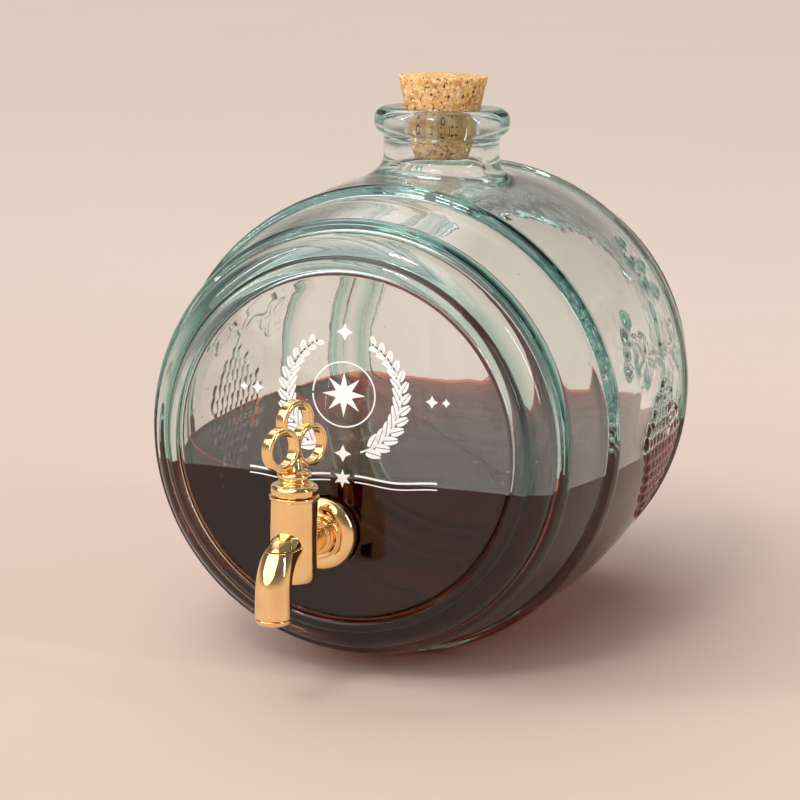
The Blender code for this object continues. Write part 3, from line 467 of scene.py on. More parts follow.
def turned_brass():
    """Plain brass with the fine rings that turning leaves."""
    material, tree, shader, place = start_material("turned_brass", {"Metallic": 1})
    tone = two_tones(tree, noise(tree, place, scale=160, detail=4), (0.72, 0.52, 0.24), (0.83, 0.64, 0.34))
    link(tree, tone, shader.inputs["Base Color"])
    smear = noise(tree, place, scale=500, detail=4)
    link(tree, spread(tree, smear, 0.2, 0.42), shader.inputs["Roughness"])
    rings = node(tree, "ShaderNodeTexWave", {"Scale": 900, "Distortion": 1.2},
                 wave_type="BANDS", bands_direction="Y")
    link(tree, place, rings.inputs["Vector"])
    bump(tree, shader, rings.outputs["Fac"], 0.00003)
    return material


def bright_steel():
    """Stainless fixings, lightly brushed."""
    material, tree, shader, place = start_material("bright_steel", {"Metallic": 1})
    stretch = node(tree, "ShaderNodeMapping", {"Scale": (1, 1, 14)})
    link(tree, place, stretch.inputs["Vector"])
    brush = noise(tree, stretch.outputs["Vector"], scale=420, detail=5, roughness=0.6)
    tone = two_tones(tree, brush, (0.56, 0.56, 0.58), (0.68, 0.68, 0.69))
    link(tree, tone, shader.inputs["Base Color"])
    link(tree, spread(tree, brush, 0.18, 0.4), shader.inputs["Roughness"])
    bump(tree, shader, brush, 0.00002)
    return material


def black_rubber():
    """Soft seal rubber with a dull bloom."""
    material, tree, shader, place = start_material("black_rubber", {})
    bloom = noise(tree, place, scale=240, detail=5, roughness=0.6)
    tone = ramp(tree, bloom, [(0.35, (0.016, 0.016, 0.017)), (0.75, (0.045, 0.045, 0.047))])
    link(tree, tone, shader.inputs["Base Color"])
    link(tree, spread(tree, bloom, 0.5, 0.85), shader.inputs["Roughness"])
    bump(tree, shader, noise(tree, place, scale=1800), 0.00004)
    return material


def pressed_cork():
    """Fine agglomerated cork: tan granules, darker bark specks and small open pits."""
    granule_scale = 640
    material, tree, shader, place = start_material("pressed_cork", {
        "Roughness": 0.82, "Subsurface Weight": 0.08, "Subsurface Radius": (0.001, 0.0006, 0.0003),
    })
    warp = node(tree, "ShaderNodeTexNoise", {"Scale": 240, "Detail": 2})
    link(tree, place, warp.inputs["Vector"])
    offset = node(tree, "ShaderNodeVectorMath", {"Scale": 0.0022}, operation="SCALE")
    link(tree, warp.outputs["Color"], offset.inputs[0])
    bent = node(tree, "ShaderNodeVectorMath", operation="ADD")
    link(tree, place, bent.inputs[0])
    link(tree, offset.outputs["Vector"], bent.inputs[1])
    cells = node(tree, "ShaderNodeTexVoronoi", {"Scale": granule_scale, "Randomness": 1})
    link(tree, bent.outputs["Vector"], cells.inputs["Vector"])
    split = node(tree, "ShaderNodeSeparateColor")
    link(tree, cells.outputs["Color"], split.inputs["Color"])
    granules = ramp(tree, split.outputs["Red"], [
        (0.0, (0.68, 0.33, 0.11)), (0.3, (0.90, 0.49, 0.175)),
        (0.65, (0.96, 0.58, 0.235)), (1.0, (1.0, 0.71, 0.37)),
    ])
    seams = node(tree, "ShaderNodeTexVoronoi", {"Scale": granule_scale, "Randomness": 1},
                 feature="DISTANCE_TO_EDGE")
    link(tree, bent.outputs["Vector"], seams.inputs["Vector"])
    seam = spread(tree, seams.outputs["Distance"], 0.62, 1.0)
    seam_dark = spread(tree, seams.outputs["Distance"], 0.55, 0.0, end=0.12)
    toned = mix_colour(tree, seam_dark, granules, (0.52, 0.27, 0.10))
    fine = noise(tree, place, scale=1500, detail=4, roughness=0.7)
    greys = ramp(tree, fine, [(0.3, (0.42, 0.42, 0.42)), (0.62, (0.62, 0.62, 0.62))])
    mottle = mix_colour(tree, 0.55, toned, greys, "OVERLAY")
    bark = noise(tree, bent.outputs["Vector"], scale=780, detail=2, roughness=0.55, distortion=0.8)
    speck = spread(tree, bark, 0.0, 1.0, start=0.60, end=0.64)
    link(tree, mix_colour(tree, speck, mottle, (0.10, 0.042, 0.022)), shader.inputs["Base Color"])
    pits = maths(tree, "SUBTRACT", seam, maths(tree, "MULTIPLY", speck, 0.9))
    bump(tree, shader, maths(tree, "ADD", pits, noise(tree, place, scale=2200)), 0.00013)
    return material


GLASS = moulded_glass()
WHISKY = dark_whisky()
FROST = frosted_ornament()
GOLD = polished_gold()
BRASS = turned_brass()
STEEL = bright_steel()
RUBBER = black_rubber()
CORK = pressed_cork()


# Barrel sections

def stave_radius(distance):
    return BELLY_RADIUS - STAVE_FALL * (np.abs(distance) / STAVE_REACH) ** STAVE_CURVE_POWER


def hoop_corner_points(centre):
    inner, outer = centre - HOOP_WIDTH / 2, centre + HOOP_WIDTH / 2
    return [
        (inner, stave_radius(inner)),
        (inner + HOOP_SHOULDER, stave_radius(inner) + HOOP_RISE * 0.9),
        (centre, stave_radius(centre) + HOOP_RISE),
        (outer - HOOP_SHOULDER, stave_radius(outer) + HOOP_RISE * 0.95),
        (outer, stave_radius(outer)),
    ]


def ideal_half_section():
    """Outside of the barrel from its middle to the flat of a head, as (distance, radius)."""
    hoop_half = HOOP_WIDTH / 2
    points = [(y, stave_radius(y)) for y in np.linspace(0, INNER_HOOP - hoop_half, 60)[:-1]]
    points += hoop_corner_points(INNER_HOOP)
    between_hoops = np.linspace(INNER_HOOP + hoop_half, OUTER_HOOP - hoop_half, 20)[1:-1]
    points += [(y, stave_radius(y)) for y in between_hoops]
    points += hoop_corner_points(OUTER_HOOP)
    start = OUTER_HOOP + hoop_half
    top = HALF_LENGTH + CHIME_RISE - CHIME_ROUNDING
    for angle in np.linspace(0, QUARTER, 12)[1:]:
        radius = CHIME_RADIUS + (stave_radius(start) - CHIME_RADIUS) * math.cos(angle)
        points.append((start + (top - start) * math.sin(angle), radius))
    rounding = arc((CHIME_RADIUS - CHIME_ROUNDING, top), CHIME_ROUNDING, 0, CHIME_SWING, 14)
    points += [(height, radius) for radius, height in rounding[1:]]
    points += [
        (HALF_LENGTH, HEAD_RADIUS + HEAD_GROOVE_WIDTH),
        (HALF_LENGTH - HEAD_GROOVE_DEPTH, HEAD_RADIUS + HEAD_GROOVE_WIDTH / 2),
        (HALF_LENGTH, HEAD_RADIUS),
        (HALF_LENGTH, HEAD_RADIUS - HEAD_RIM_BAND),
    ]
    return np.array(points)


def softened(points, sigma):
    """Resampled along its length and smoothed, with the first point mirrored on the middle plane."""
    pitch = 0.0001
    steps = np.linalg.norm(np.diff(points, axis=0), axis=1)
    along = np.concatenate([[0], np.cumsum(steps)])
    fine = np.arange(0, along[-1], pitch)
    path = np.stack([np.interp(fine, along, points[:, k]) for k in (0, 1)], axis=1)
    reach = int(4 * sigma / pitch)
    kernel = np.exp(-0.5 * (np.arange(-reach, reach + 1) * pitch / sigma) ** 2)
    kernel /= kernel.sum()
    mirrored = path[reach:0:-1] * np.array([-1, 1])
    tail = path[-1] + (path[-1] - path[-2]) * np.arange(1, reach + 1)[:, None]
    padded = np.concatenate([mirrored, path, tail])
    return np.stack([np.convolve(padded[:, k], kernel, "valid") for k in (0, 1)], axis=1)


def outer_half_stations():
    """(distance, radius) rows: even rows over the belly, then rows that gather where the section bends."""
    moulded_softness, groove_softness = 0.00055, 0.00022
    groove_from, groove_under, blend = 0.0985, 0.0640, 0.0010
    longest_row, sharpest_row = 0.0036, math.radians(17)
    rough = ideal_half_section()
    smooth = softened(rough, moulded_softness)
    crisp = softened(rough, groove_softness)
    share = np.clip((crisp[:, 0] - groove_from) / blend, 0, 1)[:, None]
    near_head = np.clip((groove_under - crisp[:, 1]) / blend, 0, 1)[:, None]
    section = smooth * (1 - share * near_head) + crisp * share * near_head
    pitch = NECK_BLOCK / (BLOCK_ROWS / 2)
    belly = np.arange(0, BLOCK_ROWS + 1) * pitch
    belly_rows = np.stack([belly, np.interp(belly, section[:, 0], section[:, 1])], axis=1)
    rest = section[section[:, 0].searchsorted(belly[-1]):]
    move = np.diff(rest, axis=0)
    length = np.linalg.norm(move, axis=1)
    heading = np.unwrap(np.arctan2(move[:, 1], move[:, 0]))
    bend = np.abs(np.gradient(heading))
    cost = np.concatenate([[0], np.cumsum(length / longest_row + bend / sharpest_row)])
    count = int(cost[-1])
    marks = np.interp(np.linspace(0, cost[-1], count + 1)[1:], cost, np.arange(len(cost)))
    picked = np.stack([np.interp(marks, np.arange(len(rest)), rest[:, k]) for k in (0, 1)], axis=1)
    return np.concatenate([belly_rows, picked])


def inner_half_stations():
    """Rows of the inner wall, which swells behind each hoop and rounds into the head."""
    hoop_swell, swell_reach = 0.0009, 0.0040
    pitch = THROAT_BLOCK / (BLOCK_ROWS / 2)
    belly = np.arange(0, BLOCK_ROWS // 2 + 1) * pitch
    base = HALF_LENGTH - HEAD_WALL - INNER_CORNER_RADIUS
    further = np.linspace(THROAT_BLOCK, base, 24)[1:]
    rows = [(y, stave_radius(y) - WALL) for y in np.concatenate([belly, further])]
    corner_centre = (rows[-1][1] - INNER_CORNER_RADIUS, base)
    corner = arc(corner_centre, INNER_CORNER_RADIUS, 0, QUARTER, 12)
    rows += [(height, radius) for radius, height in corner[1:]]
    rows = np.array(rows)
    for centre in (INNER_HOOP, OUTER_HOOP):
        swell = hoop_swell * np.exp(-((rows[:, 0] - centre) / swell_reach) ** 2)
        rows[:, 1] += np.where(rows[:, 0] < base, swell, 0)
    return rows


def whole(half):
    """Both halves of the barrel, front head first."""
    front = half[::-1] * np.array([-1, 1])
    return np.concatenate([front, half[1:]])


def soft_floor(height, floor):
    """Heights kept above the floor, with a soft turn where the side meets the foot."""
    over = height - floor
    return floor + 0.5 * (over + np.sqrt(over ** 2 + FOOT_SOFTNESS ** 2))


def smooth_step(share):
    return share * share * (3 - 2 * share)


# Grape and vine relief, all in mm along and up a side

GRAPE_PITCH = 5.2
GRAPE_ROW_PITCH = 4.5
GRAPE_RADIUS = 3.0
GRAPE_RISE = 1.5
BUNCH_ROWS = 12
BUNCH_MIDDLE = 8
BUNCH_HALF_WIDTH = 25
BUNCH_TOP = 9.5
LEAF_RISE = 1.3
LEAF_LOBES = 5
LEAVES = (((-16.0, 23.5), 11.0, 0.9), ((35.0, 22.0), 10.5, 2.2))
STEM_RISE = 0.8
STEMS = (
    (((6, 10), (8, 18), (9, 26), (13, 33), (15, 39)), 2.2),
    (((8, 18), (1, 22), (-7, 23)), 2.0),
    (((8, 18), (17, 22), (27, 22)), 2.0),
)
BEADS = (
    (-21.5, 39.5, 3.7), (-28.0, 33.5, 3.6), (-31.5, 28.0, 2.7), (-34.0, 22.5, 3.5),
    (26.5, 65.5, 3.4), (19.0, 57.5, 3.8), (31.0, 54.5, 3.6), (20.0, 48.0, 3.8), (31.0, 43.5, 3.6),
)


def dome(u, v, centre, radius, rise, fullness):
    distance = ((u - centre[0]) ** 2 + (v - centre[1]) ** 2) / radius ** 2
    return rise * np.clip(1 - distance, 0, 1) ** fullness


def ridge(u, v, path, half_width, rise):
    """Rounded ridge along a path of points."""
    best = np.full(u.shape, 1e9)
    for (u0, v0), (u1, v1) in zip(path, path[1:]):
        run = (u1 - u0) ** 2 + (v1 - v0) ** 2
        t = np.clip(((u - u0) * (u1 - u0) + (v - v0) * (v1 - v0)) / run, 0, 1)
        best = np.minimum(best, (u - u0 - t * (u1 - u0)) ** 2 + (v - v0 - t * (v1 - v0)) ** 2)
    return rise * np.clip(1 - best / half_width ** 2, 0, 1) ** 0.8


def vine_leaf(u, v, centre, size, turn, rise):
    """Five-lobed leaf with raised edge and veins."""
    edge_slope, rim_inset, rim_width = 1.2, 0.9, 0.8
    vein_share, vein_half_width = 0.86, 0.9
    du, dv = u - centre[0], v - centre[1]
    radius = np.hypot(du, dv)
    angle = np.arctan2(dv, du) - turn
    lobes = 0.70 + 0.30 * np.abs(np.cos(LEAF_LOBES / 2 * angle)) ** 0.7
    notch = 1 - 0.45 * np.exp(-((np.abs(angle % FULL_TURN - math.pi)) / 0.28) ** 2)
    edge = size * lobes * notch
    inside = np.clip((edge - radius) / edge_slope, 0, 1)
    rim = np.exp(-((edge - radius - rim_inset) / rim_width) ** 2)
    veins = np.zeros(u.shape)
    for lobe in range(LEAF_LOBES):
        heading = turn + lobe * FULL_TURN / LEAF_LOBES
        across, up = vein_share * size * math.cos(heading), vein_share * size * math.sin(heading)
        tip = (centre[0] + across, centre[1] + up)
        veins = np.maximum(veins, ridge(u, v, [centre, tip], vein_half_width, 1))
    return rise * inside * (0.45 + 0.35 * rim + 0.35 * veins)


def grape_places():
    """Middles of the grapes: staggered rows, widest a third of the way down, narrowing to a tip."""
    shift = np.random.default_rng(7)
    places = []
    for row in range(BUNCH_ROWS):
        down = row / (BUNCH_ROWS - 0.5)
        half = BUNCH_HALF_WIDTH * min(1, (down + 0.12) / 0.42, (1.08 - down) / 0.70)
        for k in range(-8, 14):
            u = (k + 0.5 * (row % 2)) * GRAPE_PITCH
            if abs(u - BUNCH_MIDDLE) < half:
                along = u + shift.uniform(-0.25, 0.25)
                places.append((along, BUNCH_TOP - GRAPE_ROW_PITCH * row + shift.uniform(-0.2, 0.2)))
    return places


def vine_relief(u, v):
    """Height of the moulded ornament on a side, u along the barrel and v up its side, all in mm."""
    shapes = [dome(u, v, place, GRAPE_RADIUS, GRAPE_RISE, 0.6) for place in grape_places()]
    shapes += [vine_leaf(u, v, centre, size, turn, LEAF_RISE) for centre, size, turn in LEAVES]
    shapes += [ridge(u, v, path, half_width, STEM_RISE) for path, half_width in STEMS]
    shapes += [dome(u, v, (along, up), radius, 0.5 * radius, 0.65) for along, up, radius in BEADS]
    height = np.zeros(u.shape)
    for shape in shapes:
        height = np.maximum(height, shape)
    return height


def soft_relief(u, v):
    """The relief with its edges softened, as an average over a small patch."""
    reach = 0.45
    around = [(reach * du, reach * dv) for du in (-1, 0, 1) for dv in (-1, 0, 1)]
    return sum(vine_relief(u + du, v + dv) for du, dv in around) / len(around)


def relief_bed(u, v):
    """Where the ornament may be sunk into the side so that it stays flush with the belly."""
    middle, half_size, soft_edge = (8, -2), (44, 40), 0.35
    reach = ((u - middle[0]) / half_size[0]) ** 2 + ((v - middle[1]) / half_size[1]) ** 2
    return smooth_step(np.clip((1 - reach) / soft_edge, 0, 1))


# Barrel

PLAIN_STEP = math.radians(4.0)
RELIEF_TOP = math.radians(44)
RELIEF_FOOT = math.radians(122)
RELIEF_ROWS = 85
OUTER_WAVES = 0.00002
INNER_WAVES = 0.00009


def even_steps(start, end):
    """Even stations after the start, up to the end, about a plain step apart."""
    return np.linspace(start, end, int((end - start) / PLAIN_STEP) + 1)[1:]


def angle_stations(block_angle, relief):
    """Angles round the barrel from the top: the block under the neck, then the sides and the foot."""
    block = np.linspace(-block_angle, block_angle, BLOCK_COLUMNS + 1)
    if relief:
        side = np.linspace(RELIEF_TOP, RELIEF_FOOT, RELIEF_ROWS + 1)[1:]
        right = np.concatenate([even_steps(block_angle, RELIEF_TOP), side, even_steps(RELIEF_FOOT, math.pi)])
    else:
        right = even_steps(block_angle, math.pi)
    left = (FULL_TURN - right[:-1])[::-1]
    return np.concatenate([block, right, left])


def square_to_circle(x, y, u, v, circle):
    """Eases a square patch of the grid into a circle and lets go of it further out."""
    size = np.maximum(np.abs(u), np.abs(v))
    safe = np.maximum(size, 1e-9)
    flip = np.abs(v) >= np.abs(u)
    turn = np.where(flip, u / safe, v / safe) * math.pi / 4
    round_x = np.where(flip, np.sin(turn), np.sign(u) * np.cos(turn))
    round_y = np.where(flip, np.sign(v) * np.cos(turn), np.sin(turn))
    radius = circle * (1 + PATCH_GROWTH * (size - 1))
    share = smooth_step(np.clip((size - 1) / (PATCH_REACH - 1), 0, 1))
    return round_x * radius * (1 - share) + x * share, round_y * radius * (1 - share) + y * share


def shell_grid(stations, angles, block, circle, floor):
    """Grid of points on the barrel with the patch under the neck eased into a circle."""
    y, radius = (column[:, None] * np.ones((1, len(angles))) for column in stations.T)
    angle = np.ones((len(stations), 1)) * angles[None, :]
    x = radius * np.sin(angle)
    u = np.where(angle > math.pi, angle - FULL_TURN, angle) / angles[BLOCK_COLUMNS]
    v = y / block
    size = np.maximum(np.abs(u), np.abs(v))
    near = (size < PATCH_REACH) & (size > 0.999)
    moved_x, moved_y = square_to_circle(x, y, u, v, circle)
    x_new = np.where(near, moved_x, x)
    y_new = np.where(near, moved_y, y)
    order = np.argsort(stations[:, 0])
    on_surface = np.interp(y_new, stations[order, 0], stations[order, 1])
    z_near = AXIS_HEIGHT + np.sqrt(np.maximum(on_surface ** 2 - x_new ** 2, 0))
    z = np.where(near, z_near, AXIS_HEIGHT + radius * np.cos(angle))
    return np.stack([x_new, y_new, soft_floor(z, floor)], axis=2)


def grid_faces(rows, columns, first, start, end):
    """Faces of a grid that closes round the barrel, without those inside the hole under the neck."""
    faces = []
    for i in range(rows - 1):
        row = [first + i * columns + j for j in range(columns)]
        skipped = BLOCK_COLUMNS if start <= i < end else 0
        faces += band(row, [corner + columns for corner in row])[skipped:]
    return faces


def hole_loop(columns, first, start, end):
    """Vertices round the hole, in order, beginning at its front left corner."""
    loop = [first + start * columns + j for j in range(BLOCK_COLUMNS)]
    loop += [first + i * columns + BLOCK_COLUMNS for i in range(start, end)]
    loop += [first + end * columns + j for j in range(BLOCK_COLUMNS, 0, -1)]
    loop += [first + i * columns for i in range(end, start, -1)]
    return loop


def head_waves(seed):
    """Heading, length and phase of the slow waves in the flat of a head."""
    waves = np.random.default_rng(seed)
    phase = waves.uniform(0, 6.28, 8)
    heading = waves.uniform(0, 6.28, 8)
    length = waves.uniform(0.014, 0.034, 8)
    return list(zip(heading, length, phase))


def head_disc(loop_points, y, hole_centre, waviness, seed):
    """Flat of a head filled with triangles; returns its extra points, faces and the loop of its hole."""
    hole_sides = 40
    pitch, row_share, half_rows = 0.0045, 0.866, 16
    clearance, foot_clearance = 0.0025, 0.008
    hole_margin, fade_start, fade_length = 0.985, 0.002, 0.006
    flat = [Vector((p[0], p[2])) for p in loop_points]
    count = len(flat)
    edges = [(i, (i + 1) % count) for i in range(count)]
    extra = []
    hole = []
    if hole_centre:
        for i in range(hole_sides):
            angle = i * FULL_TURN / hole_sides
            across = hole_centre[0] + TAP_HOLE_RADIUS * math.cos(angle)
            extra.append(Vector((across, hole_centre[1] + TAP_HOLE_RADIUS * math.sin(angle))))
        hole = [count + i for i in range(hole_sides)]
        edges += zip(hole, hole[1:] + hole[:1])
    middle = Vector((0, AXIS_HEIGHT))
    limit = min((p - middle).length for p in flat) - clearance
    for row in range(-half_rows, half_rows + 1):
        for column in range(-half_rows, half_rows + 1):
            point = middle + Vector(((column + 0.5 * (row % 2)) * pitch, row * pitch * row_share))
            clear = not hole_centre or (point - Vector(hole_centre)).length > TAP_HOLE_RADIUS + clearance
            if (point - middle).length < limit and clear and point[1] > foot_clearance:
                extra.append(point)
    points, _, faces, *_ = geometry.delaunay_2d_cdt(flat + extra, edges, [], 1, 1e-7)
    kept = []
    for face in faces:
        centre = sum((points[i] for i in face), Vector((0, 0))) / len(face)
        if not hole_centre or (centre - Vector(hole_centre)).length > TAP_HOLE_RADIUS * hole_margin:
            kept.append(list(face))
    waves = head_waves(seed)
    placed_points = []
    for index in range(count, len(points)):
        x, z = points[index]
        swell = sum(math.sin(FULL_TURN * (x * math.cos(h) + z * math.sin(h)) / l + f) for h, l, f in waves)
        from_rim = limit + fade_start - math.hypot(x, z - AXIS_HEIGHT)
        fade = min(1.0, max(0.0, from_rim / fade_length))
        if index in hole:
            fade = 0
        placed_points.append((x, y + waviness * (swell / len(waves)) * fade, z))
    return placed_points, kept, hole


def neck_section():
    """Rings of the neck from the skirt up over the lip and down the bore, as (radius, height)."""
    lip_foot = LIP_TOP - LIP_HEIGHT
    lip_core = LIP_RADIUS - LIP_ROUNDING
    rings = [(NECK_RADIUS, z) for z in np.linspace(NECK_FOOT, lip_foot - 0.0022, 6)]
    rings += [(NECK_RADIUS + 0.00012, lip_foot - 0.0010), (NECK_RADIUS + 0.0005, lip_foot - 0.0002)]
    rings += arc((lip_core, lip_foot + LIP_ROUNDING), LIP_ROUNDING, -1.12, 0, 7)
    rings += arc((lip_core, LIP_TOP - LIP_ROUNDING), LIP_ROUNDING, 0, QUARTER, 9)
    mouth_centre = MOUTH_RADIUS + MOUTH_ROUNDING
    rings += [(r, LIP_TOP) for r in np.linspace(lip_core, mouth_centre, 4)[1:-1]]
    rings += arc((mouth_centre, LIP_TOP - MOUTH_ROUNDING), MOUTH_ROUNDING, QUARTER, math.pi, 7)
    rings += [(MOUTH_RADIUS, 0.1880), (MOUTH_RADIUS, 0.1855), (0.01470, 0.1830), (0.01530, 0.1803)]
    rings += [(BORE_RADIUS, z) for z in (0.1778, 0.1750, 0.1725, THROAT_TOP)]
    return rings


def fillet_rings(outer_loop, ring_radius, ring_height, slope_in, count):
    """Smooth skirt between a loop on the shell and an upright ring."""
    steepness = 1.15
    loop = np.array(outer_loop)
    reach, foot = np.hypot(loop[:, 0], loop[:, 1]), loop[:, 2]
    heading = loop[:, :2] / reach[:, None]
    span = np.hypot(reach - ring_radius, foot - ring_height)
    rings = []
    for t in np.linspace(0, 1, count + 2)[1:-1]:
        from_loop, loop_slope = 2 * t ** 3 - 3 * t ** 2 + 1, t ** 3 - 2 * t ** 2 + t
        from_ring, ring_slope = -2 * t ** 3 + 3 * t ** 2, t ** 3 - t ** 2
        radius = from_loop * reach + loop_slope * slope_in[0] * span + from_ring * ring_radius
        height = from_loop * foot + loop_slope * slope_in[1] * span + from_ring * ring_height
        height = height + ring_slope * steepness * (ring_height - foot)
        rings.append(np.stack([heading[:, 0] * radius, heading[:, 1] * radius, height], axis=1))
    return rings


def side_place(points):
    """Angle from the top, then the place on a side as u along the barrel and v up it, in mm."""
    around = np.arctan2(np.abs(points[:, 0]), points[:, 2] - AXIS_HEIGHT)
    return around, points[:, 1] / MM, (QUARTER - around) * BELLY_RADIUS / MM


def carve_vines(piece):
    """Splits the faces under the ornament into finer ones and raises the ornament on both sides."""
    face_reach, face_side, bare = 0.046, 0.055, 0.02
    corner_reach, corner_side = 0.0475, 0.052
    full_depth, left_share = 0.0015, 0.6
    work = bmesh.new()
    work.from_mesh(piece.data)
    inner = work.verts.layers.float["inside"]
    outer_faces = []
    for face in work.faces:
        middle = face.calc_center_median()
        on_side = abs(middle.y) < face_reach and abs(middle.x) > face_side
        if on_side and len(face.verts) == 4 and all(v[inner] < 0.5 for v in face.verts):
            outer_faces.append(face)
    _, u, v = side_place(np.array([f.calc_center_median() for f in outer_faces]))
    offsets = [(0, 0), (1.3, 0), (-1.3, 0), (0, 1.3), (0, -1.3)]
    raised = np.max([vine_relief(u + du, v + dv) for du, dv in offsets], axis=0) > bare
    edges = {e for f, chosen in zip(outer_faces, raised) if chosen for e in f.edges}
    bmesh.ops.subdivide_edges(work, edges=list(edges), cuts=1, use_grid_fill=True)

    stations = whole(outer_half_stations())
    side = [
        v for v in work.verts
        if v[inner] < 0.5 and abs(v.co.y) < corner_reach and abs(v.co.x) > corner_side
    ]
    points = np.array([v.co for v in side])
    around, u, v = side_place(points)
    radius = np.interp(points[:, 1], stations[:, 0], stations[:, 1])
    room = BELLY_RADIUS / np.sin(around) - radius
    sink = np.clip(full_depth - room, 0, full_depth) * relief_bed(u, v)
    height = soft_relief(u, v) * MM * np.clip((room + sink) / full_depth, 0, 1)
    shallower_left = np.where(points[:, 0] < 0, left_share, 1.0)
    carved = radius + shallower_left * np.minimum(height - sink, room)
    for vertex, a, r in zip(side, around, carved):
        vertex.co.x = math.copysign(r * math.sin(a), vertex.co.x)
        vertex.co.z = AXIS_HEIGHT + r * math.cos(a)
    work.to_mesh(piece.data)
    work.free()
    piece.data.shade_smooth()


def thick_places(points, inside):
    """How much of its full teal the glass shows: all on the hoops, less on the chimes and the rolled lip."""
    hoop_reach, chime_reach, chime_from = 0.0026, 0.0036, 0.0960
    lip_share, chime_share, inner_loss = 0.06, 0.8, 0.6
    along = np.abs(points[:, 1])
    reach = np.hypot(points[:, 0], points[:, 2] - AXIS_HEIGHT)
    hoops = sum(np.exp(-((along - centre) / hoop_reach) ** 2) for centre in (INNER_HOOP, OUTER_HOOP))
    chime = np.exp(-((reach - CHIME_RADIUS) / chime_reach) ** 2) * (along > chime_from)
    off_neck = np.hypot(points[:, 0], points[:, 1]) > NECK_RADIUS + 0.0012
    lip = lip_share * (points[:, 2] > LIP_TOP - LIP_HEIGHT) * off_neck
    below_neck = points[:, 2] < NECK_FOOT
    thick = np.clip(np.where(below_neck, np.maximum(hoops, chime_share * chime), lip), 0, 1)
    return thick * (1 - inner_loss * inside)


def neck_lean(heading, least, more):
    """How steeply the skirt leaves the shell: more on the falling sides than along the barrel."""
    return least + more * np.abs(heading[:, 0]) ** 1.5


def barrel_glass():
    """The whole glass as one closed skin: outside, neck, bore, inside and the tunnel for the tap."""
    vertices, faces, inside = [], [], []

    def add(points, is_inside):
        first = len(vertices)
        vertices.extend(map(tuple, points))
        inside.extend([is_inside] * len(points))
        return first

    loops = {}
    discs = {}
    for side in ("outer", "inner"):
        outer = side == "outer"
        stations = whole(outer_half_stations() if outer else inner_half_stations())
        block = NECK_BLOCK if outer else THROAT_BLOCK
        crown = BELLY_RADIUS if outer else BELLY_RADIUS - WALL
        angles = angle_stations(math.asin(block / crown), relief=outer)
        circle = NECK_SKIRT_RADIUS if outer else THROAT_SKIRT_RADIUS
        grid = shell_grid(stations, angles, block, circle, 0 if outer else WALL)
        rows, columns = grid.shape[:2]
        start = (rows - 1) // 2 - BLOCK_ROWS // 2
        end = start + BLOCK_ROWS
        first = add(grid.reshape(-1, 3), 0 if outer else 1)
        faces += grid_faces(rows, columns, first, start, end)
        loops[side] = hole_loop(columns, first, start, end)
        depth = HALF_LENGTH if outer else HALF_LENGTH - HEAD_WALL
        waviness = OUTER_WAVES if outer else INNER_WAVES
        for edge, sign in ((0, -1), (rows - 1, 1)):
            loop = [first + edge * columns + j for j in range(columns)]
            hole = (TAP_SIDE, INLET_HEIGHT) if sign < 0 else None
            rim = [vertices[i] for i in loop]
            points, triangles, ring = head_disc(rim, sign * depth, hole, waviness, 3 + sign)
            base = add(points, 0 if outer else 1)
            index = loop + [base + i for i in range(len(points))]
            faces += [tuple(index[i] for i in t) for t in triangles]
            if hole:
                discs[side] = [index[i] for i in ring]
    faces += band(discs["outer"], discs["inner"])

    skirt = [vertices[i] for i in loops["outer"]]
    throat = [vertices[i] for i in loops["inner"]]
    heading = np.array(skirt)[:, :2] / np.hypot(*np.array(skirt)[:, :2].T)[:, None]
    rings = fillet_rings(skirt, NECK_RADIUS, NECK_FOOT, (-1.05, neck_lean(heading, 0.10, 0.26)), SKIRT_RINGS)
    for radius, height in neck_section():
        level = np.full(len(heading), height)
        rings.append(np.stack([heading[:, 0] * radius, heading[:, 1] * radius, level], axis=1))
    bore_from = len(rings) - BORE_RINGS
    throat_slope = (-1.0, neck_lean(heading, 0.08, 0.2))
    rings += fillet_rings(throat, BORE_RADIUS, THROAT_TOP, throat_slope, THROAT_RINGS)[::-1]
    previous = loops["outer"]
    for number, ring in enumerate(rings):
        first = add(ring, 1 if number >= bore_from else 0)
        current = [first + i for i in range(len(ring))]
        faces += band(previous, current)
        previous = current
    faces += band(previous, loops["inner"])

    piece = make_piece("barrel_glass", vertices, faces, GLASS)
    marks = {"inside": np.array(inside), "thick": thick_places(np.array(vertices), np.array(inside))}
    for label, values in marks.items():
        flag = piece.data.attributes.new(label, "FLOAT", "POINT")
        flag.data.foreach_set("value", values.astype(np.float32))
    face_outwards(piece)
    carve_vines(piece)
    return piece


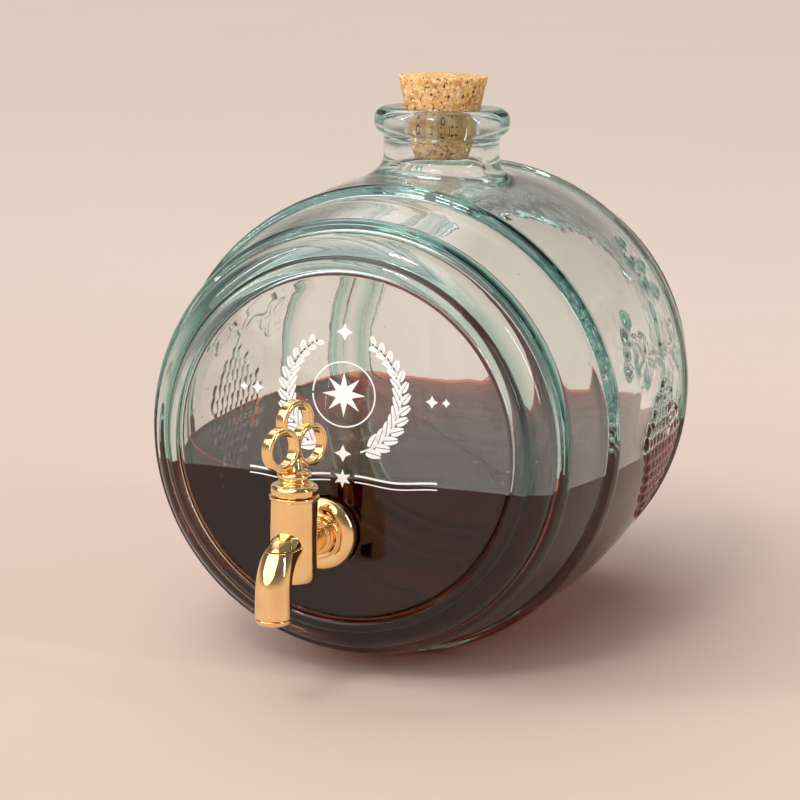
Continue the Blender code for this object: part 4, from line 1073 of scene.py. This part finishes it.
def whisky_body():
    """The drink: the inside of the barrel up to the level, with a meniscus climbing the glass."""
    sides = 112
    half = inner_half_stations()
    move = np.gradient(half, axis=0)
    normal = np.stack([-move[:, 1], move[:, 0]], axis=1)
    normal /= np.linalg.norm(normal, axis=1)[:, None]
    normal[0] = (0, 1)
    stations = whole(half + normal * LIQUID_OVERLAP)
    angles = np.arange(sides) * FULL_TURN / sides
    y, radius = (column[:, None] * np.ones((1, sides)) for column in stations.T)
    x = radius * np.sin(angles)[None, :]
    z = soft_floor(AXIS_HEIGHT + radius * np.cos(angles)[None, :], WALL - LIQUID_OVERLAP)
    work = bmesh.new()
    tag = work.faces.layers.float.new("open_face")
    grid = [[work.verts.new(corner) for corner in zip(*row)] for row in zip(x, y, z)]
    for low, high in zip(grid, grid[1:]):
        for corners in band(low, high):
            work.faces.new(corners)
    work.faces.new(grid[0])
    work.faces.new(grid[-1])
    edge_height = LIQUID_LEVEL + MENISCUS_CLIMB
    on_cut = cut_flat(work, edge_height, keep_above=False, precision=1e-7)
    rim = [v for v in on_cut if isinstance(v, bmesh.types.BMVert)]
    rim.sort(key=lambda v: math.atan2(v.co.y, v.co.x))
    flat = np.array([(v.co.x, v.co.y) for v in rim])
    tangent = np.roll(flat, -1, axis=0) - np.roll(flat, 1, axis=0)
    inward = np.stack([-tangent[:, 1], tangent[:, 0]], axis=1)
    inward /= np.linalg.norm(inward, axis=1)[:, None]
    open_faces = []
    previous = rim
    for inset, drop in MENISCUS_STEPS:
        ring = [work.verts.new((*(p + n * inset), edge_height - drop)) for p, n in zip(flat, inward)]
        open_faces += [work.faces.new(corners) for corners in band(previous, ring)]
        previous = ring
    open_faces.append(work.faces.new(previous))
    for face in open_faces:
        face[tag] = 1.0
    bmesh.ops.recalc_face_normals(work, faces=work.faces)
    bmesh.ops.triangulate(work, faces=[f for f in work.faces if len(f.verts) > 4])
    mesh = bpy.data.meshes.new("whisky_body")
    work.to_mesh(mesh)
    work.free()
    mesh.shade_smooth()
    mesh.set_sharp_from_angle(angle=math.radians(40))
    mesh.materials.append(WHISKY)
    return placed("whisky_body", mesh)


# Cork

CORK_BOTTOM = 0.1735
CORK_TOP = 0.2037
CORK_TAPER = 0.222
CORK_RADIUS_AT_LIP = 0.0140
GRAIN_DEPTH = 0.00006
CHIP_DEPTH = 0.00055


def cork_radius(height):
    return CORK_RADIUS_AT_LIP + CORK_TAPER * (height - LIP_TOP)


def cork_plug():
    """Tapered cork with crumbled edges and small pits."""
    edge = 0.0012
    rows = [(radius, CORK_TOP) for radius in (0.0, 0.004, 0.008, 0.0120, 0.0150)]
    rows += [(0.01600, CORK_TOP - 0.00002), (0.01632, CORK_TOP - 0.00018), (0.01650, CORK_TOP - 0.0005)]
    rows += [(cork_radius(z), z) for z in np.linspace(CORK_TOP - edge, CORK_BOTTOM + edge, 34)]
    foot = cork_radius(CORK_BOTTOM)
    rows += [(foot - 0.0001, CORK_BOTTOM + 0.0005), (foot - 0.0004, CORK_BOTTOM + 0.0001)]
    rows += [(foot - 0.0010, CORK_BOTTOM), (foot / 2, CORK_BOTTOM), (0, CORK_BOTTOM)]
    piece = turned("cork_plug", rows, 128, CORK)
    rough = np.random.default_rng(11)
    chips = rough.uniform(0, FULL_TURN, 26)
    for vertex in piece.data.vertices:
        x, y, z = vertex.co
        radius = math.hypot(x, y)
        if radius < 0.0005:
            continue
        angle = math.atan2(y, x) % FULL_TURN
        grain = math.sin(37 * angle + 900 * z) * math.sin(23 * angle - 1400 * z)
        grain *= math.sin(1900 * z + 11 * angle)
        drop = GRAIN_DEPTH * (1 + grain)
        rim = math.exp(-((z - CORK_TOP) / 0.0006) ** 2) * (radius > 0.0145)
        for i, chip in enumerate(chips):
            apart = abs((angle - chip + math.pi) % FULL_TURN - math.pi)
            width = 0.03 + 0.05 * ((i * 7) % 5) / 5
            drop += rim * CHIP_DEPTH * math.exp(-(apart / width) ** 2)
        vertex.co.x -= x / radius * drop
        vertex.co.y -= y / radius * drop
        vertex.co.z -= rim * drop * 0.6
    return piece


# Tap

BODY_BORE = 0.0053
BODY_LIP = 0.00845
BODY_FOOT_ROUNDING = 0.0034
FOOT_RECESS_RADIUS = 0.0064
FOOT_RECESS = 0.0031
HUB_BORE = 0.0026
HUB_RADIUS = 0.0047
COLLAR_RADIUS = 0.0056
COLLAR_BACK = -0.02125
COLLAR_WIDTH = 0.0014
BROW_RADIUS = 0.0055
SEAM_GAP = 0.0001
PASSAGE_RADIUS = 0.0031
FLANGE_RADIUS = 0.0127
FLANGE_TOP = 0.0052
FLANGE_BORE = 0.0060
SPOUT_END_Y = TAP_AXIS_Y - SPOUT_START - SPOUT_BEND_RADIUS


def spout_centre(t):
    """Centre line of the spout: 0 to 1 round the bend, then straight down."""
    if t <= 1:
        angle = QUARTER * t
        return (TAP_AXIS_Y - SPOUT_START - SPOUT_BEND_RADIUS * math.sin(angle),
                OUTLET_HEIGHT - SPOUT_BEND_RADIUS * (1 - math.cos(angle)), angle)
    drop = (t - 1) * (OUTLET_HEIGHT - SPOUT_BEND_RADIUS - SPOUT_END)
    return SPOUT_END_Y, OUTLET_HEIGHT - SPOUT_BEND_RADIUS - drop, QUARTER


def swept_spout(name, sections):
    """Round sections (t, radius) along the spout as one closed skin."""
    sides = 56
    vertices, rings = [], []
    for t, radius in sections:
        y, z, slope = spout_centre(t)
        rings.append([len(vertices) + i for i in range(sides)])
        for i in range(sides):
            angle = i * FULL_TURN / sides
            lift = radius * math.sin(angle)
            across = TAP_SIDE + radius * math.cos(angle)
            vertices.append((across, y - lift * math.sin(slope), z + lift * math.cos(slope)))
    faces = [corners for low, high in zip(rings, rings[1:]) for corners in band(low, high)]
    return make_piece(name, vertices, faces + [rings[0], rings[-1]], GOLD)


def cut_level(piece, height, keep_above):
    """Cuts the piece level and closes it with a softly broken edge."""
    work = bmesh.new()
    work.from_mesh(piece.data)
    bmesh.ops.recalc_face_normals(work, faces=work.faces)
    on_cut = cut_flat(work, height, keep_above, precision=1e-8)
    edges = [e for e in on_cut if isinstance(e, bmesh.types.BMEdge)]
    bmesh.ops.edgeloop_fill(work, edges=edges)
    bmesh.ops.bevel(work, geom=edges, offset=0.00022, segments=3, profile=0.6, affect="EDGES")
    bmesh.ops.recalc_face_normals(work, faces=work.faces)
    work.to_mesh(piece.data)
    work.free()
    piece.data.shade_smooth()
    return piece


def tap_casting():
    """Upright body with its lip, the hub towards the barrel and the brow over the spout."""
    outline = [(BODY_BORE, BODY_TOP), (BODY_LIP, BODY_TOP), (BODY_LIP, BODY_TOP - 0.0010)]
    outline.append((BODY_RADIUS, BODY_TOP - 0.0012))
    for angle in np.linspace(0, QUARTER * 0.93, 8):
        height = BODY_BOTTOM + BODY_FOOT_ROUNDING * (1 - math.sin(angle))
        outline.append((0.00665 + 0.0013 * math.cos(angle), height))
    outline += [(FOOT_RECESS_RADIUS, BODY_BOTTOM), (FOOT_RECESS_RADIUS, BODY_BOTTOM + FOOT_RECESS)]
    outline.append((BODY_BORE, BODY_BOTTOM + FOOT_RECESS))
    origin = (TAP_SIDE, TAP_AXIS_Y, 0)
    body = turned("body", eased(outline, 0.0003), 96, GOLD, closed=True, origin=origin)

    outline = [
        (HUB_BORE, -0.0066), (0.0053, -0.0074), (0.0050, -0.0086), (HUB_RADIUS, -0.0098),
        (HUB_RADIUS, COLLAR_BACK + COLLAR_WIDTH + 0.0002), (COLLAR_RADIUS, COLLAR_BACK + COLLAR_WIDTH),
        (COLLAR_RADIUS, COLLAR_BACK), (HUB_BORE, COLLAR_BACK),
    ]
    origin = (TAP_SIDE, TAP_AXIS_Y, INLET_HEIGHT)
    hub = turned("hub", eased(outline, 0.0004), 72, GOLD, closed=True, origin=origin, along_barrel=True)

    sections = [(t, BROW_RADIUS) for t in (*np.linspace(0, 1, 22), 1.2)]
    brow = cut_level(swept_spout("brow", sections), SEAM_HEIGHT + SEAM_GAP, keep_above=True)
    return even_normals(merged("tap_casting", [body, hub, brow]))


def tap_spout_curve():
    """Spout from the seam down to its square end, swelling a little, with its passage."""
    bend = [(t, 0.0057 + 0.00034 * t) for t in np.linspace(0, 1, 28)]
    drop = [(t, 0.00604 + 0.00006 * (t - 1)) for t in np.linspace(1, 2, 9)[1:-1]]
    end = [(1.985, 0.0061), (2.0, 0.00606), (2.0, 0.0059), (2.0, 0.0034), (1.97, 0.0032)]
    passage = [(t, PASSAGE_RADIUS) for t in (1.6, 1.2, 1.0, 0.72)]
    spout = swept_spout("tap_spout_curve", bend + drop + end + passage)
    return even_normals(cut_level(spout, SEAM_HEIGHT - SEAM_GAP, keep_above=False))


def nozzle_ring():
    """Rounded lip pressed into the end of the spout."""
    outline = [(0.0030, 0.0030), (0.0041, 0.0030), (0.0041, -0.0002), (0.0058, -0.0002), (0.00605, -0.00035)]
    outline += [(r, z - 0.0002) for r, z in arc((0.0040, 0), 0.0021, -0.2, -QUARTER, 12)]
    outline += [(0.0034, -0.00228), (0.0030, -0.0020)]
    outline = [(min(r, 0.0061), max(z, -0.0022)) for r, z in outline]
    origin = (TAP_SIDE, SPOUT_END_Y, SPOUT_END)
    return even_normals(turned("nozzle_ring", outline, 72, GOLD, closed=True, origin=origin))


def flange_dome():
    """Domed flange with a raised step and a turned bead round the hub."""
    outline = [
        (0.0049, 0), (0.0049, FLANGE_TOP), (0.0056, FLANGE_TOP), (0.0060, 0.00485), (0.0064, FLANGE_TOP),
        (0.0074, FLANGE_TOP), (0.0078, 0.0048), (0.0079, 0.00425),
    ]
    for angle in np.linspace(QUARTER, 0.0, 14):
        outline.append((0.0082 + 0.0045 * math.cos(angle), 0.0009 + 0.0032 * math.sin(angle)))
    outline += [
        (FLANGE_RADIUS, 0.0006), (FLANGE_RADIUS, 0.0), (0.0116, 0.0), (0.0116, 0.0009),
        (0.0080, 0.0030), (FLANGE_BORE, 0.0030), (FLANGE_BORE, 0.0),
    ]
    outline = eased(outline, 0.00018, steps=3)
    origin = (TAP_SIDE, -HALF_LENGTH - 0.0020, INLET_HEIGHT)
    flange = turned("flange_dome", outline, 128, GOLD, closed=True, origin=origin, along_barrel=True)
    return even_normals(flange)


# Key

RING_OUTSIDE = 0.0074
RING_HOLE = 0.0054
RING_SIDE = 0.0067
RING_RISE = 0.0085
RING_WEB = 0.0018
RING_SIDES = 88
GRIP_HALF_THICKNESS = 0.00215
GRIP_ROUNDING = 0.00078
GRIP_HEIGHT = 0.0889


def loop_arc(centre, radius, start, end):
    """Arc with as many points as its share of a full ring."""
    steps = math.ceil(abs(end - start) * RING_SIDES / FULL_TURN)
    return arc(centre, radius, start, end, steps + 1)


def trefoil_outlines():
    """Flat outlines of the grip: the outside, two round holes and the hole of the top ring."""
    outer, inner = RING_OUTSIDE - GRIP_ROUNDING, RING_HOLE + GRIP_ROUNDING
    left, right, top = (-RING_SIDE, 0), (RING_SIDE, 0), (0, RING_RISE)
    apart = math.hypot(RING_SIDE, RING_RISE)
    to_top = math.atan2(RING_RISE, -RING_SIDE)
    to_right = to_top - math.pi
    notch = math.acos((RING_SIDE - RING_WEB / 2) / outer)
    shared = math.acos(apart / 2 / outer)
    hole_swing = math.acos((apart ** 2 + inner ** 2 - outer ** 2) / (2 * apart * inner))
    ring_swing = math.acos((apart ** 2 + outer ** 2 - inner ** 2) / (2 * apart * outer))
    outside = loop_arc(right, outer, notch - math.pi, to_top - shared)
    outside += loop_arc(top, outer, to_right + shared, math.pi - to_right - shared)[1:]
    outside += loop_arc(left, outer, math.pi - to_top + shared, FULL_TURN - notch)[1:]
    top_hole = loop_arc(top, inner, to_right + hole_swing, math.pi - to_right - hole_swing)
    top_hole += loop_arc(left, outer, math.pi - to_top + ring_swing, notch)[1:]
    top_hole += loop_arc(right, outer, math.pi - notch, to_top - ring_swing)[:-1]
    holes = [loop_arc(centre, inner, 0, FULL_TURN)[:-1] for centre in (left, right)]
    return [outside, top_hole] + holes


def trefoil_grip():
    """Three joined rings with rounded edges, standing square to X before the key is turned."""
    curve = bpy.data.curves.new("trefoil", "CURVE")
    curve.dimensions = "2D"
    curve.fill_mode = "BOTH"
    curve.extrude = GRIP_HALF_THICKNESS - GRIP_ROUNDING
    curve.bevel_depth = GRIP_ROUNDING
    curve.bevel_resolution = 4
    for outline in trefoil_outlines():
        spline = curve.splines.new("POLY")
        spline.points.add(len(outline) - 1)
        spline.use_cyclic_u = True
        for point, (x, y) in zip(spline.points, outline):
            point.co = (x, y, 0, 1)
    guide = placed("trefoil_guide", curve)
    mesh = as_mesh(guide)
    bpy.data.objects.remove(guide)
    mesh.transform(Matrix.Translation((0, 0, GRIP_HEIGHT)) @ Matrix.Rotation(QUARTER, 4, "X"))
    mesh.materials.clear()
    mesh.materials.append(GOLD)
    grip = placed("grip", mesh)
    face_outwards(grip, 0.00001)
    return grip


def key_casting():
    """Key of the tap: tang, shoulder cap, ring, bead and the trefoil grip."""
    foot = BODY_TOP + 0.0003
    outline = [(0, 0.0869), (0.0012, 0.0869), (0.0019, 0.0856), (0.0022, 0.0840)]
    outline += [(0.0026, 0.0825), (0.0033, 0.0813), (0.0040, 0.08085)]
    outline += arc((0.00445, 0.07945), 0.00140, QUARTER, -QUARTER, 12)
    outline += arc((0.00490, 0.07740), 0.00055, QUARTER, -QUARTER, 7)
    outline += [(0.00470, 0.07665)]
    outline += arc((0.00615, 0.0747), 0.0019, QUARTER, -0.25, 9)
    outline += [(0.00795, 0.0735), (0.00782, foot + 0.00022), (0.0076, foot)]
    outline += [(0.0026, foot), (0.0026, 0.0653), (0, 0.0653)]
    stem = turned("stem", outline, 96, GOLD)
    key = merged("key_casting", [stem, trefoil_grip()])
    key.data.transform(Matrix.Translation((TAP_SIDE, TAP_AXIS_Y, 0)) @ Matrix.Rotation(KEY_ANGLE, 4, "Z"))
    face_outwards(key, 0.000001)
    return even_normals(key)


# Ornament on the head

WREATH_RADIUS = 0.0205
STAR_RING_RADIUS = 0.0112
RULED_LINE_HEIGHT = -0.0285
FROST_THICKNESS = 0.00009
FROST_SINK = 0.00004
ORNAMENT_RISE = 0.0185


def leaf_mesh():
    """Pointed leaf with a cut midrib, lying in X and Y with its tip along X."""
    half_rib, half_cut = 0.022, 0.018
    half = [(0.10, 0.13), (0.26, 0.20), (0.45, 0.215), (0.65, 0.17), (0.83, 0.09)]
    vertices, faces = [], []
    for sign in (1, -1):
        first = len(vertices)
        outline = [(x, sign * (half_cut + y * 0.96), 0) for x, y in half]
        vertices += outline + [(x, sign * half_rib, 0) for x, _ in half]
        count = len(outline)
        for i in range(count - 1):
            quad = (first + i, first + i + 1, first + count + i + 1, first + count + i)
            faces.append(quad if sign < 0 else quad[::-1])
    return vertices, faces


def sprig_tree(leaf):
    """Leaves in pairs along an arc, standing off it by turns, drawn in on towards the tip."""
    tree = bpy.data.node_groups.new("sprig", "GeometryNodeTree")
    face = tree.interface
    face.new_socket("Geometry", in_out="INPUT", socket_type="NodeSocketGeometry")
    for label in ("Radius", "Start Angle", "Sweep Angle", "Leaf Length", "Lean"):
        face.new_socket(label, in_out="INPUT", socket_type="NodeSocketFloat")
    face.new_socket("Leaf Count", in_out="INPUT", socket_type="NodeSocketInt")
    face.new_socket("Geometry", in_out="OUTPUT", socket_type="NodeSocketGeometry")
    source = node(tree, "NodeGroupInput")
    sink = node(tree, "NodeGroupOutput")
    path = node(tree, "GeometryNodeCurveArc", {"Resolution": 48})
    for label in ("Radius", "Start Angle", "Sweep Angle"):
        link(tree, source.outputs[label], path.inputs[label])
    points = node(tree, "GeometryNodeCurveToPoints", mode="COUNT")
    link(tree, path.outputs["Curve"], points.inputs["Curve"])
    link(tree, source.outputs["Leaf Count"], points.inputs["Count"])
    shape = node(tree, "GeometryNodeObjectInfo", {"Object": leaf})
    index = node(tree, "GeometryNodeInputIndex").outputs["Index"]
    odd = maths(tree, "MODULO", index, 2)
    side = maths(tree, "SUBTRACT", maths(tree, "MULTIPLY", odd, 2), 1)
    along = maths(tree, "DIVIDE", index, source.outputs["Leaf Count"])
    lean = maths(tree, "MULTIPLY", side, source.outputs["Lean"])
    tangent = points.outputs["Tangent"]
    heading = maths(tree, "ARCTAN2", part_of(tree, tangent, "Y"), part_of(tree, tangent, "X"))
    turn = node(tree, "ShaderNodeCombineXYZ")
    link(tree, maths(tree, "ADD", heading, lean), turn.inputs["Z"])
    drawn_in = maths(tree, "SUBTRACT", 1.08, maths(tree, "MULTIPLY", along, 0.45))
    size = maths(tree, "MULTIPLY", source.outputs["Leaf Length"], drawn_in)
    scatter = node(tree, "GeometryNodeInstanceOnPoints")
    link(tree, points.outputs["Points"], scatter.inputs["Points"])
    link(tree, shape.outputs["Geometry"], scatter.inputs["Instance"])
    link(tree, turn.outputs["Vector"], scatter.inputs["Rotation"])
    link(tree, size, scatter.inputs["Scale"])
    real = node(tree, "GeometryNodeRealizeInstances")
    link(tree, scatter.outputs["Instances"], real.inputs["Geometry"])
    finish = node(tree, "GeometryNodeSetMaterial", {"Material": FROST})
    link(tree, real.outputs["Geometry"], finish.inputs["Geometry"])
    link(tree, finish.outputs["Geometry"], sink.inputs["Geometry"])
    return tree


def grow_sprig(tree, settings):
    """One sprig as a plain mesh; each setting is given to the tree's input of that name."""
    carrier = placed("sprig", bpy.data.meshes.new("sprig"))
    modifier = carrier.modifiers.new("sprig", "NODES")
    identifiers = {item.name: item.identifier for item in tree.interface.items_tree if item.in_out == "INPUT"}
    modifier.node_group = tree
    for label, value in settings.items():
        modifier[identifiers[label]] = value
    return baked(carrier)


def star_shape(points, outer, inner, centre):
    """Outline of a star with one point straight up."""
    rim = []
    for i in range(points * 2):
        radius = outer if i % 2 == 0 else inner
        angle = QUARTER + i * math.pi / points
        rim.append((centre[0] + radius * math.cos(angle), centre[1] + radius * math.sin(angle)))
    return rim


def on_circle(radius, angles):
    return [(radius * math.cos(a), radius * math.sin(a)) for a in angles]


def stroke(points, width):
    """Flat band along a line of points, as one outline."""
    line = np.array(points)
    tangent = np.gradient(line, axis=0)
    tangent /= np.linalg.norm(tangent, axis=1)[:, None]
    offset = np.stack([-tangent[:, 1], tangent[:, 0]], axis=1) * width / 2
    return [tuple(p) for p in line + offset] + [tuple(p) for p in (line - offset)[::-1]]


def head_outlines():
    """Flat outlines of the stars, the stems of the wreath, the ring in it and the ruled lines."""
    outlines = [
        star_shape(8, 0.0078, 0.0031, (0, 0)),
        star_shape(4, 0.0030, 0.0014, (0, 0.0215)),
        star_shape(4, 0.0030, 0.0014, (0, -0.0205)),
    ]
    for reach in (-1, 1):
        outlines.append(star_shape(4, 0.0022, 0.0011, (reach * 0.0315, 0.0)))
        outlines.append(star_shape(4, 0.0015, 0.0008, (reach * 0.0365, 0.0)))
    for start, end in ((-72, 62), (242, 118)):
        stem = on_circle(WREATH_RADIUS, np.radians(np.linspace(start, end, 60)))
        outlines.append(stroke(stem, 0.0006))
    ring = np.linspace(0, FULL_TURN, 90)
    for half in (ring[:45], ring[45:]):
        outlines.append(stroke(on_circle(STAR_RING_RADIUS, half), 0.0005))
    for reach in (-1, 1):
        across = [reach * x for x in np.linspace(0.0044, 0.034, 20)]
        wave = [(x, RULED_LINE_HEIGHT + 0.0006 * math.cos((x - reach * 0.004) * 210)) for x in across]
        outlines.append(stroke(wave, 0.0007))
        outlines.append(stroke([(x, y - 0.0022) for x, y in wave], 0.0004))
    outlines.append(star_shape(6, 0.0032, 0.0015, (0, -0.0292)))
    return outlines


def head_ornament():
    """Frosted wreath with a star and ruled lines, lying on the flat of the front head."""
    vertices, faces = leaf_mesh()
    leaf = make_piece("leaf", vertices, faces, FROST, smooth=False)
    tree = sprig_tree(leaf)
    sprigs = []
    for start, sweep in ((-68, 126), (248, -126)):
        sprigs.append(grow_sprig(tree, {
            "Radius": WREATH_RADIUS, "Start Angle": math.radians(start), "Sweep Angle": math.radians(sweep),
            "Leaf Length": 0.0068, "Leaf Count": 25, "Lean": 0.62,
        }))
    work = bmesh.new()
    for outline in head_outlines():
        work.faces.new([work.verts.new((x, y, 0)) for x, y in outline])
    bmesh.ops.recalc_face_normals(work, faces=work.faces)
    bmesh.ops.triangulate(work, faces=work.faces)
    shapes = bpy.data.meshes.new("shapes")
    work.to_mesh(shapes)
    work.free()
    shapes.materials.append(FROST)
    piece = merged("head_ornament", [placed("art", shapes)] + sprigs)
    bpy.data.objects.remove(leaf)
    work = bmesh.new()
    work.from_mesh(piece.data)
    for face in work.faces:
        face.normal_update()
        if face.normal.z < 0:
            face.normal_flip()
    raised = bmesh.ops.extrude_face_region(work, geom=work.faces[:], use_keep_orig=True)
    top = [v for v in raised["geom"] if isinstance(v, bmesh.types.BMVert)]
    bmesh.ops.translate(work, verts=top, vec=(0, 0, FROST_THICKNESS))
    bmesh.ops.recalc_face_normals(work, faces=work.faces)
    bmesh.ops.triangulate(work, faces=work.faces)
    work.to_mesh(piece.data)
    work.free()
    place = Matrix.Translation((0, -HALF_LENGTH - FROST_SINK, AXIS_HEIGHT + ORNAMENT_RISE))
    piece.data.transform(place @ Matrix.Rotation(QUARTER, 4, "X"))
    piece.data.shade_flat()
    return piece


# Stage

LAMP_AIM = (0, 0, 0.1)
LAMPS = (
    ("pane_left", (-0.20, -1.42, 1.50), (0.12, 0.36), 3.4),
    ("pane_right", (-0.04, -1.42, 1.50), (0.12, 0.36), 3.4),
    ("window_left", (-1.55, -1.05, 1.20), (0.11, 1.1), 6.1),
    ("window_right", (1.75, -0.25, 0.95), (0.11, 1.1), 6.1),
)
GLOW_HEADING = (-0.31, 0.49, 0.815)
GLOW_COLOUR = (1.6, 1.58, 1.55)


def lay_floor():
    """Wide pale floor with painted shade: its colour is a little darker and warmer on the camera's side."""
    reach, height = 16, -0.0002
    material, tree, shader, place = start_material("pale_floor", {"Roughness": 0.75})
    # painted shade: the floor colour runs from darker and warmer near the camera to lighter further back
    depth = spread(tree, part_of(tree, place, "Y"), 0.0, 1.0, start=-0.5, end=1.0, easing="SMOOTHSTEP")
    painted_near_shade = mix_colour(tree, depth, (0.67, 0.505, 0.42), (0.77, 0.63, 0.55))
    cloud = two_tones(tree, noise(tree, place, scale=3, detail=4), (0.98, 0.98, 0.98), (1.0, 1.0, 1.0))
    link(tree, mix_colour(tree, 1.0, painted_near_shade, cloud, "MULTIPLY"), shader.inputs["Base Color"])
    corners = [(x * reach, y * reach, height) for x, y in ((-1, -1), (1, -1), (1, 1), (-1, 1))]
    floor = make_piece("floor", corners, [(0, 1, 2, 3)], material)


def set_world():
    """Light from all round: warm at the horizon, dim above, and one soft bright patch high at the back."""
    world = bpy.data.worlds.new("studio")
    bpy.context.scene.world = world
    world.use_nodes = True
    sky = world.node_tree
    heading = node(sky, "ShaderNodeTexCoord").outputs["Generated"]
    fade = ramp(sky, spread(sky, part_of(sky, heading, "Z"), 0.0, 1.0), [
        (0.03, (0.74, 0.60, 0.525)), (0.18, (0.30, 0.26, 0.235)),
        (0.45, (0.15, 0.145, 0.145)), (1.0, (0.22, 0.22, 0.22)),
    ])
    towards = node(sky, "ShaderNodeVectorMath", {1: GLOW_HEADING}, operation="DOT_PRODUCT")
    link(sky, heading, towards.inputs[0])
    glow = spread(sky, towards.outputs["Value"], 0.0, 1.0, start=0.85, end=0.98, easing="SMOOTHSTEP")
    background = sky.nodes["Background"]
    link(sky, mix_colour(sky, glow, fade, GLOW_COLOUR), background.inputs["Color"])
    background.inputs["Strength"].default_value = 1.0


def hang_lamps():
    """Four tall lamps in front and at the sides, and a wide, soft sun."""
    for name, place, (width, height), power in LAMPS:
        lamp = bpy.data.lights.new(name, "AREA")
        lamp.shape = "RECTANGLE"
        lamp.size, lamp.size_y = width, height
        lamp.energy = power
        aim = Vector(LAMP_AIM) - Vector(place)
        turn = aim.to_track_quat("-Z", "Y").to_matrix().to_4x4()
        placed(name, lamp).matrix_world = Matrix.Translation(place) @ turn
    sky_light = bpy.data.lights.new("sky_light", "SUN")
    sky_light.energy = 2.5
    sky_light.angle = math.radians(80)
    turn = Matrix.Rotation(math.radians(-26), 4, "Y") @ Matrix.Rotation(math.radians(38), 4, "X")
    placed("sky_light", sky_light).matrix_world = turn


def set_stage():
    """Floor, world, lamps and the render settings that clear glass needs."""
    lay_floor()
    set_world()
    hang_lamps()
    bpy.context.scene.view_settings.view_transform = "Standard"
    cycles = bpy.context.scene.cycles
    cycles.max_bounces = 64
    cycles.transmission_bounces = 64
    cycles.glossy_bounces = 16
    cycles.transparent_max_bounces = 24


# Assembly

def dress(piece, body, slot, *nodes):
    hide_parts(*nodes)
    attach(piece, body)


def assemble():
    """Hangs each remade piece on its body in place of the CAD node it hides, and gives the CAD pieces of the
    tap their finishes.
    """
    dress(barrel_glass(), "root", "clear_glass", "glass_barrel")
    dress(whisky_body(), "root", "whisky", "whisky_fill")
    dress(cork_plug(), "cork", "cork", "cork_stopper")
    dress(tap_casting(), "root", "gold_plate", "tap_body")
    dress(tap_spout_curve(), "root", "gold_plate", "tap_spout")
    dress(nozzle_ring(), "root", "gold_plate", "spout_nozzle")
    dress(flange_dome(), "root", "gold_plate", "flange_rosette")
    dress(key_casting(), "key", "gold_plate", "key_handle")
    ornament = head_ornament()
    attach(ornament, "root")
    kept = {
        "tap_shank": BRASS, "hex_nut": BRASS, "valve_plug": BRASS,
        "outer_gasket": RUBBER, "inner_gasket": RUBBER,
        "plug_oring_upper": RUBBER, "plug_oring_lower": RUBBER,
        "inner_washer": STEEL, "key_pin": STEEL,
        "plug_washer": STEEL, "plug_spring_washer": STEEL, "plug_screw": STEEL,
    }
    for name, finish in kept.items():
        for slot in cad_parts[name].material_slots:
            slot.material = finish


set_stage()
assemble()
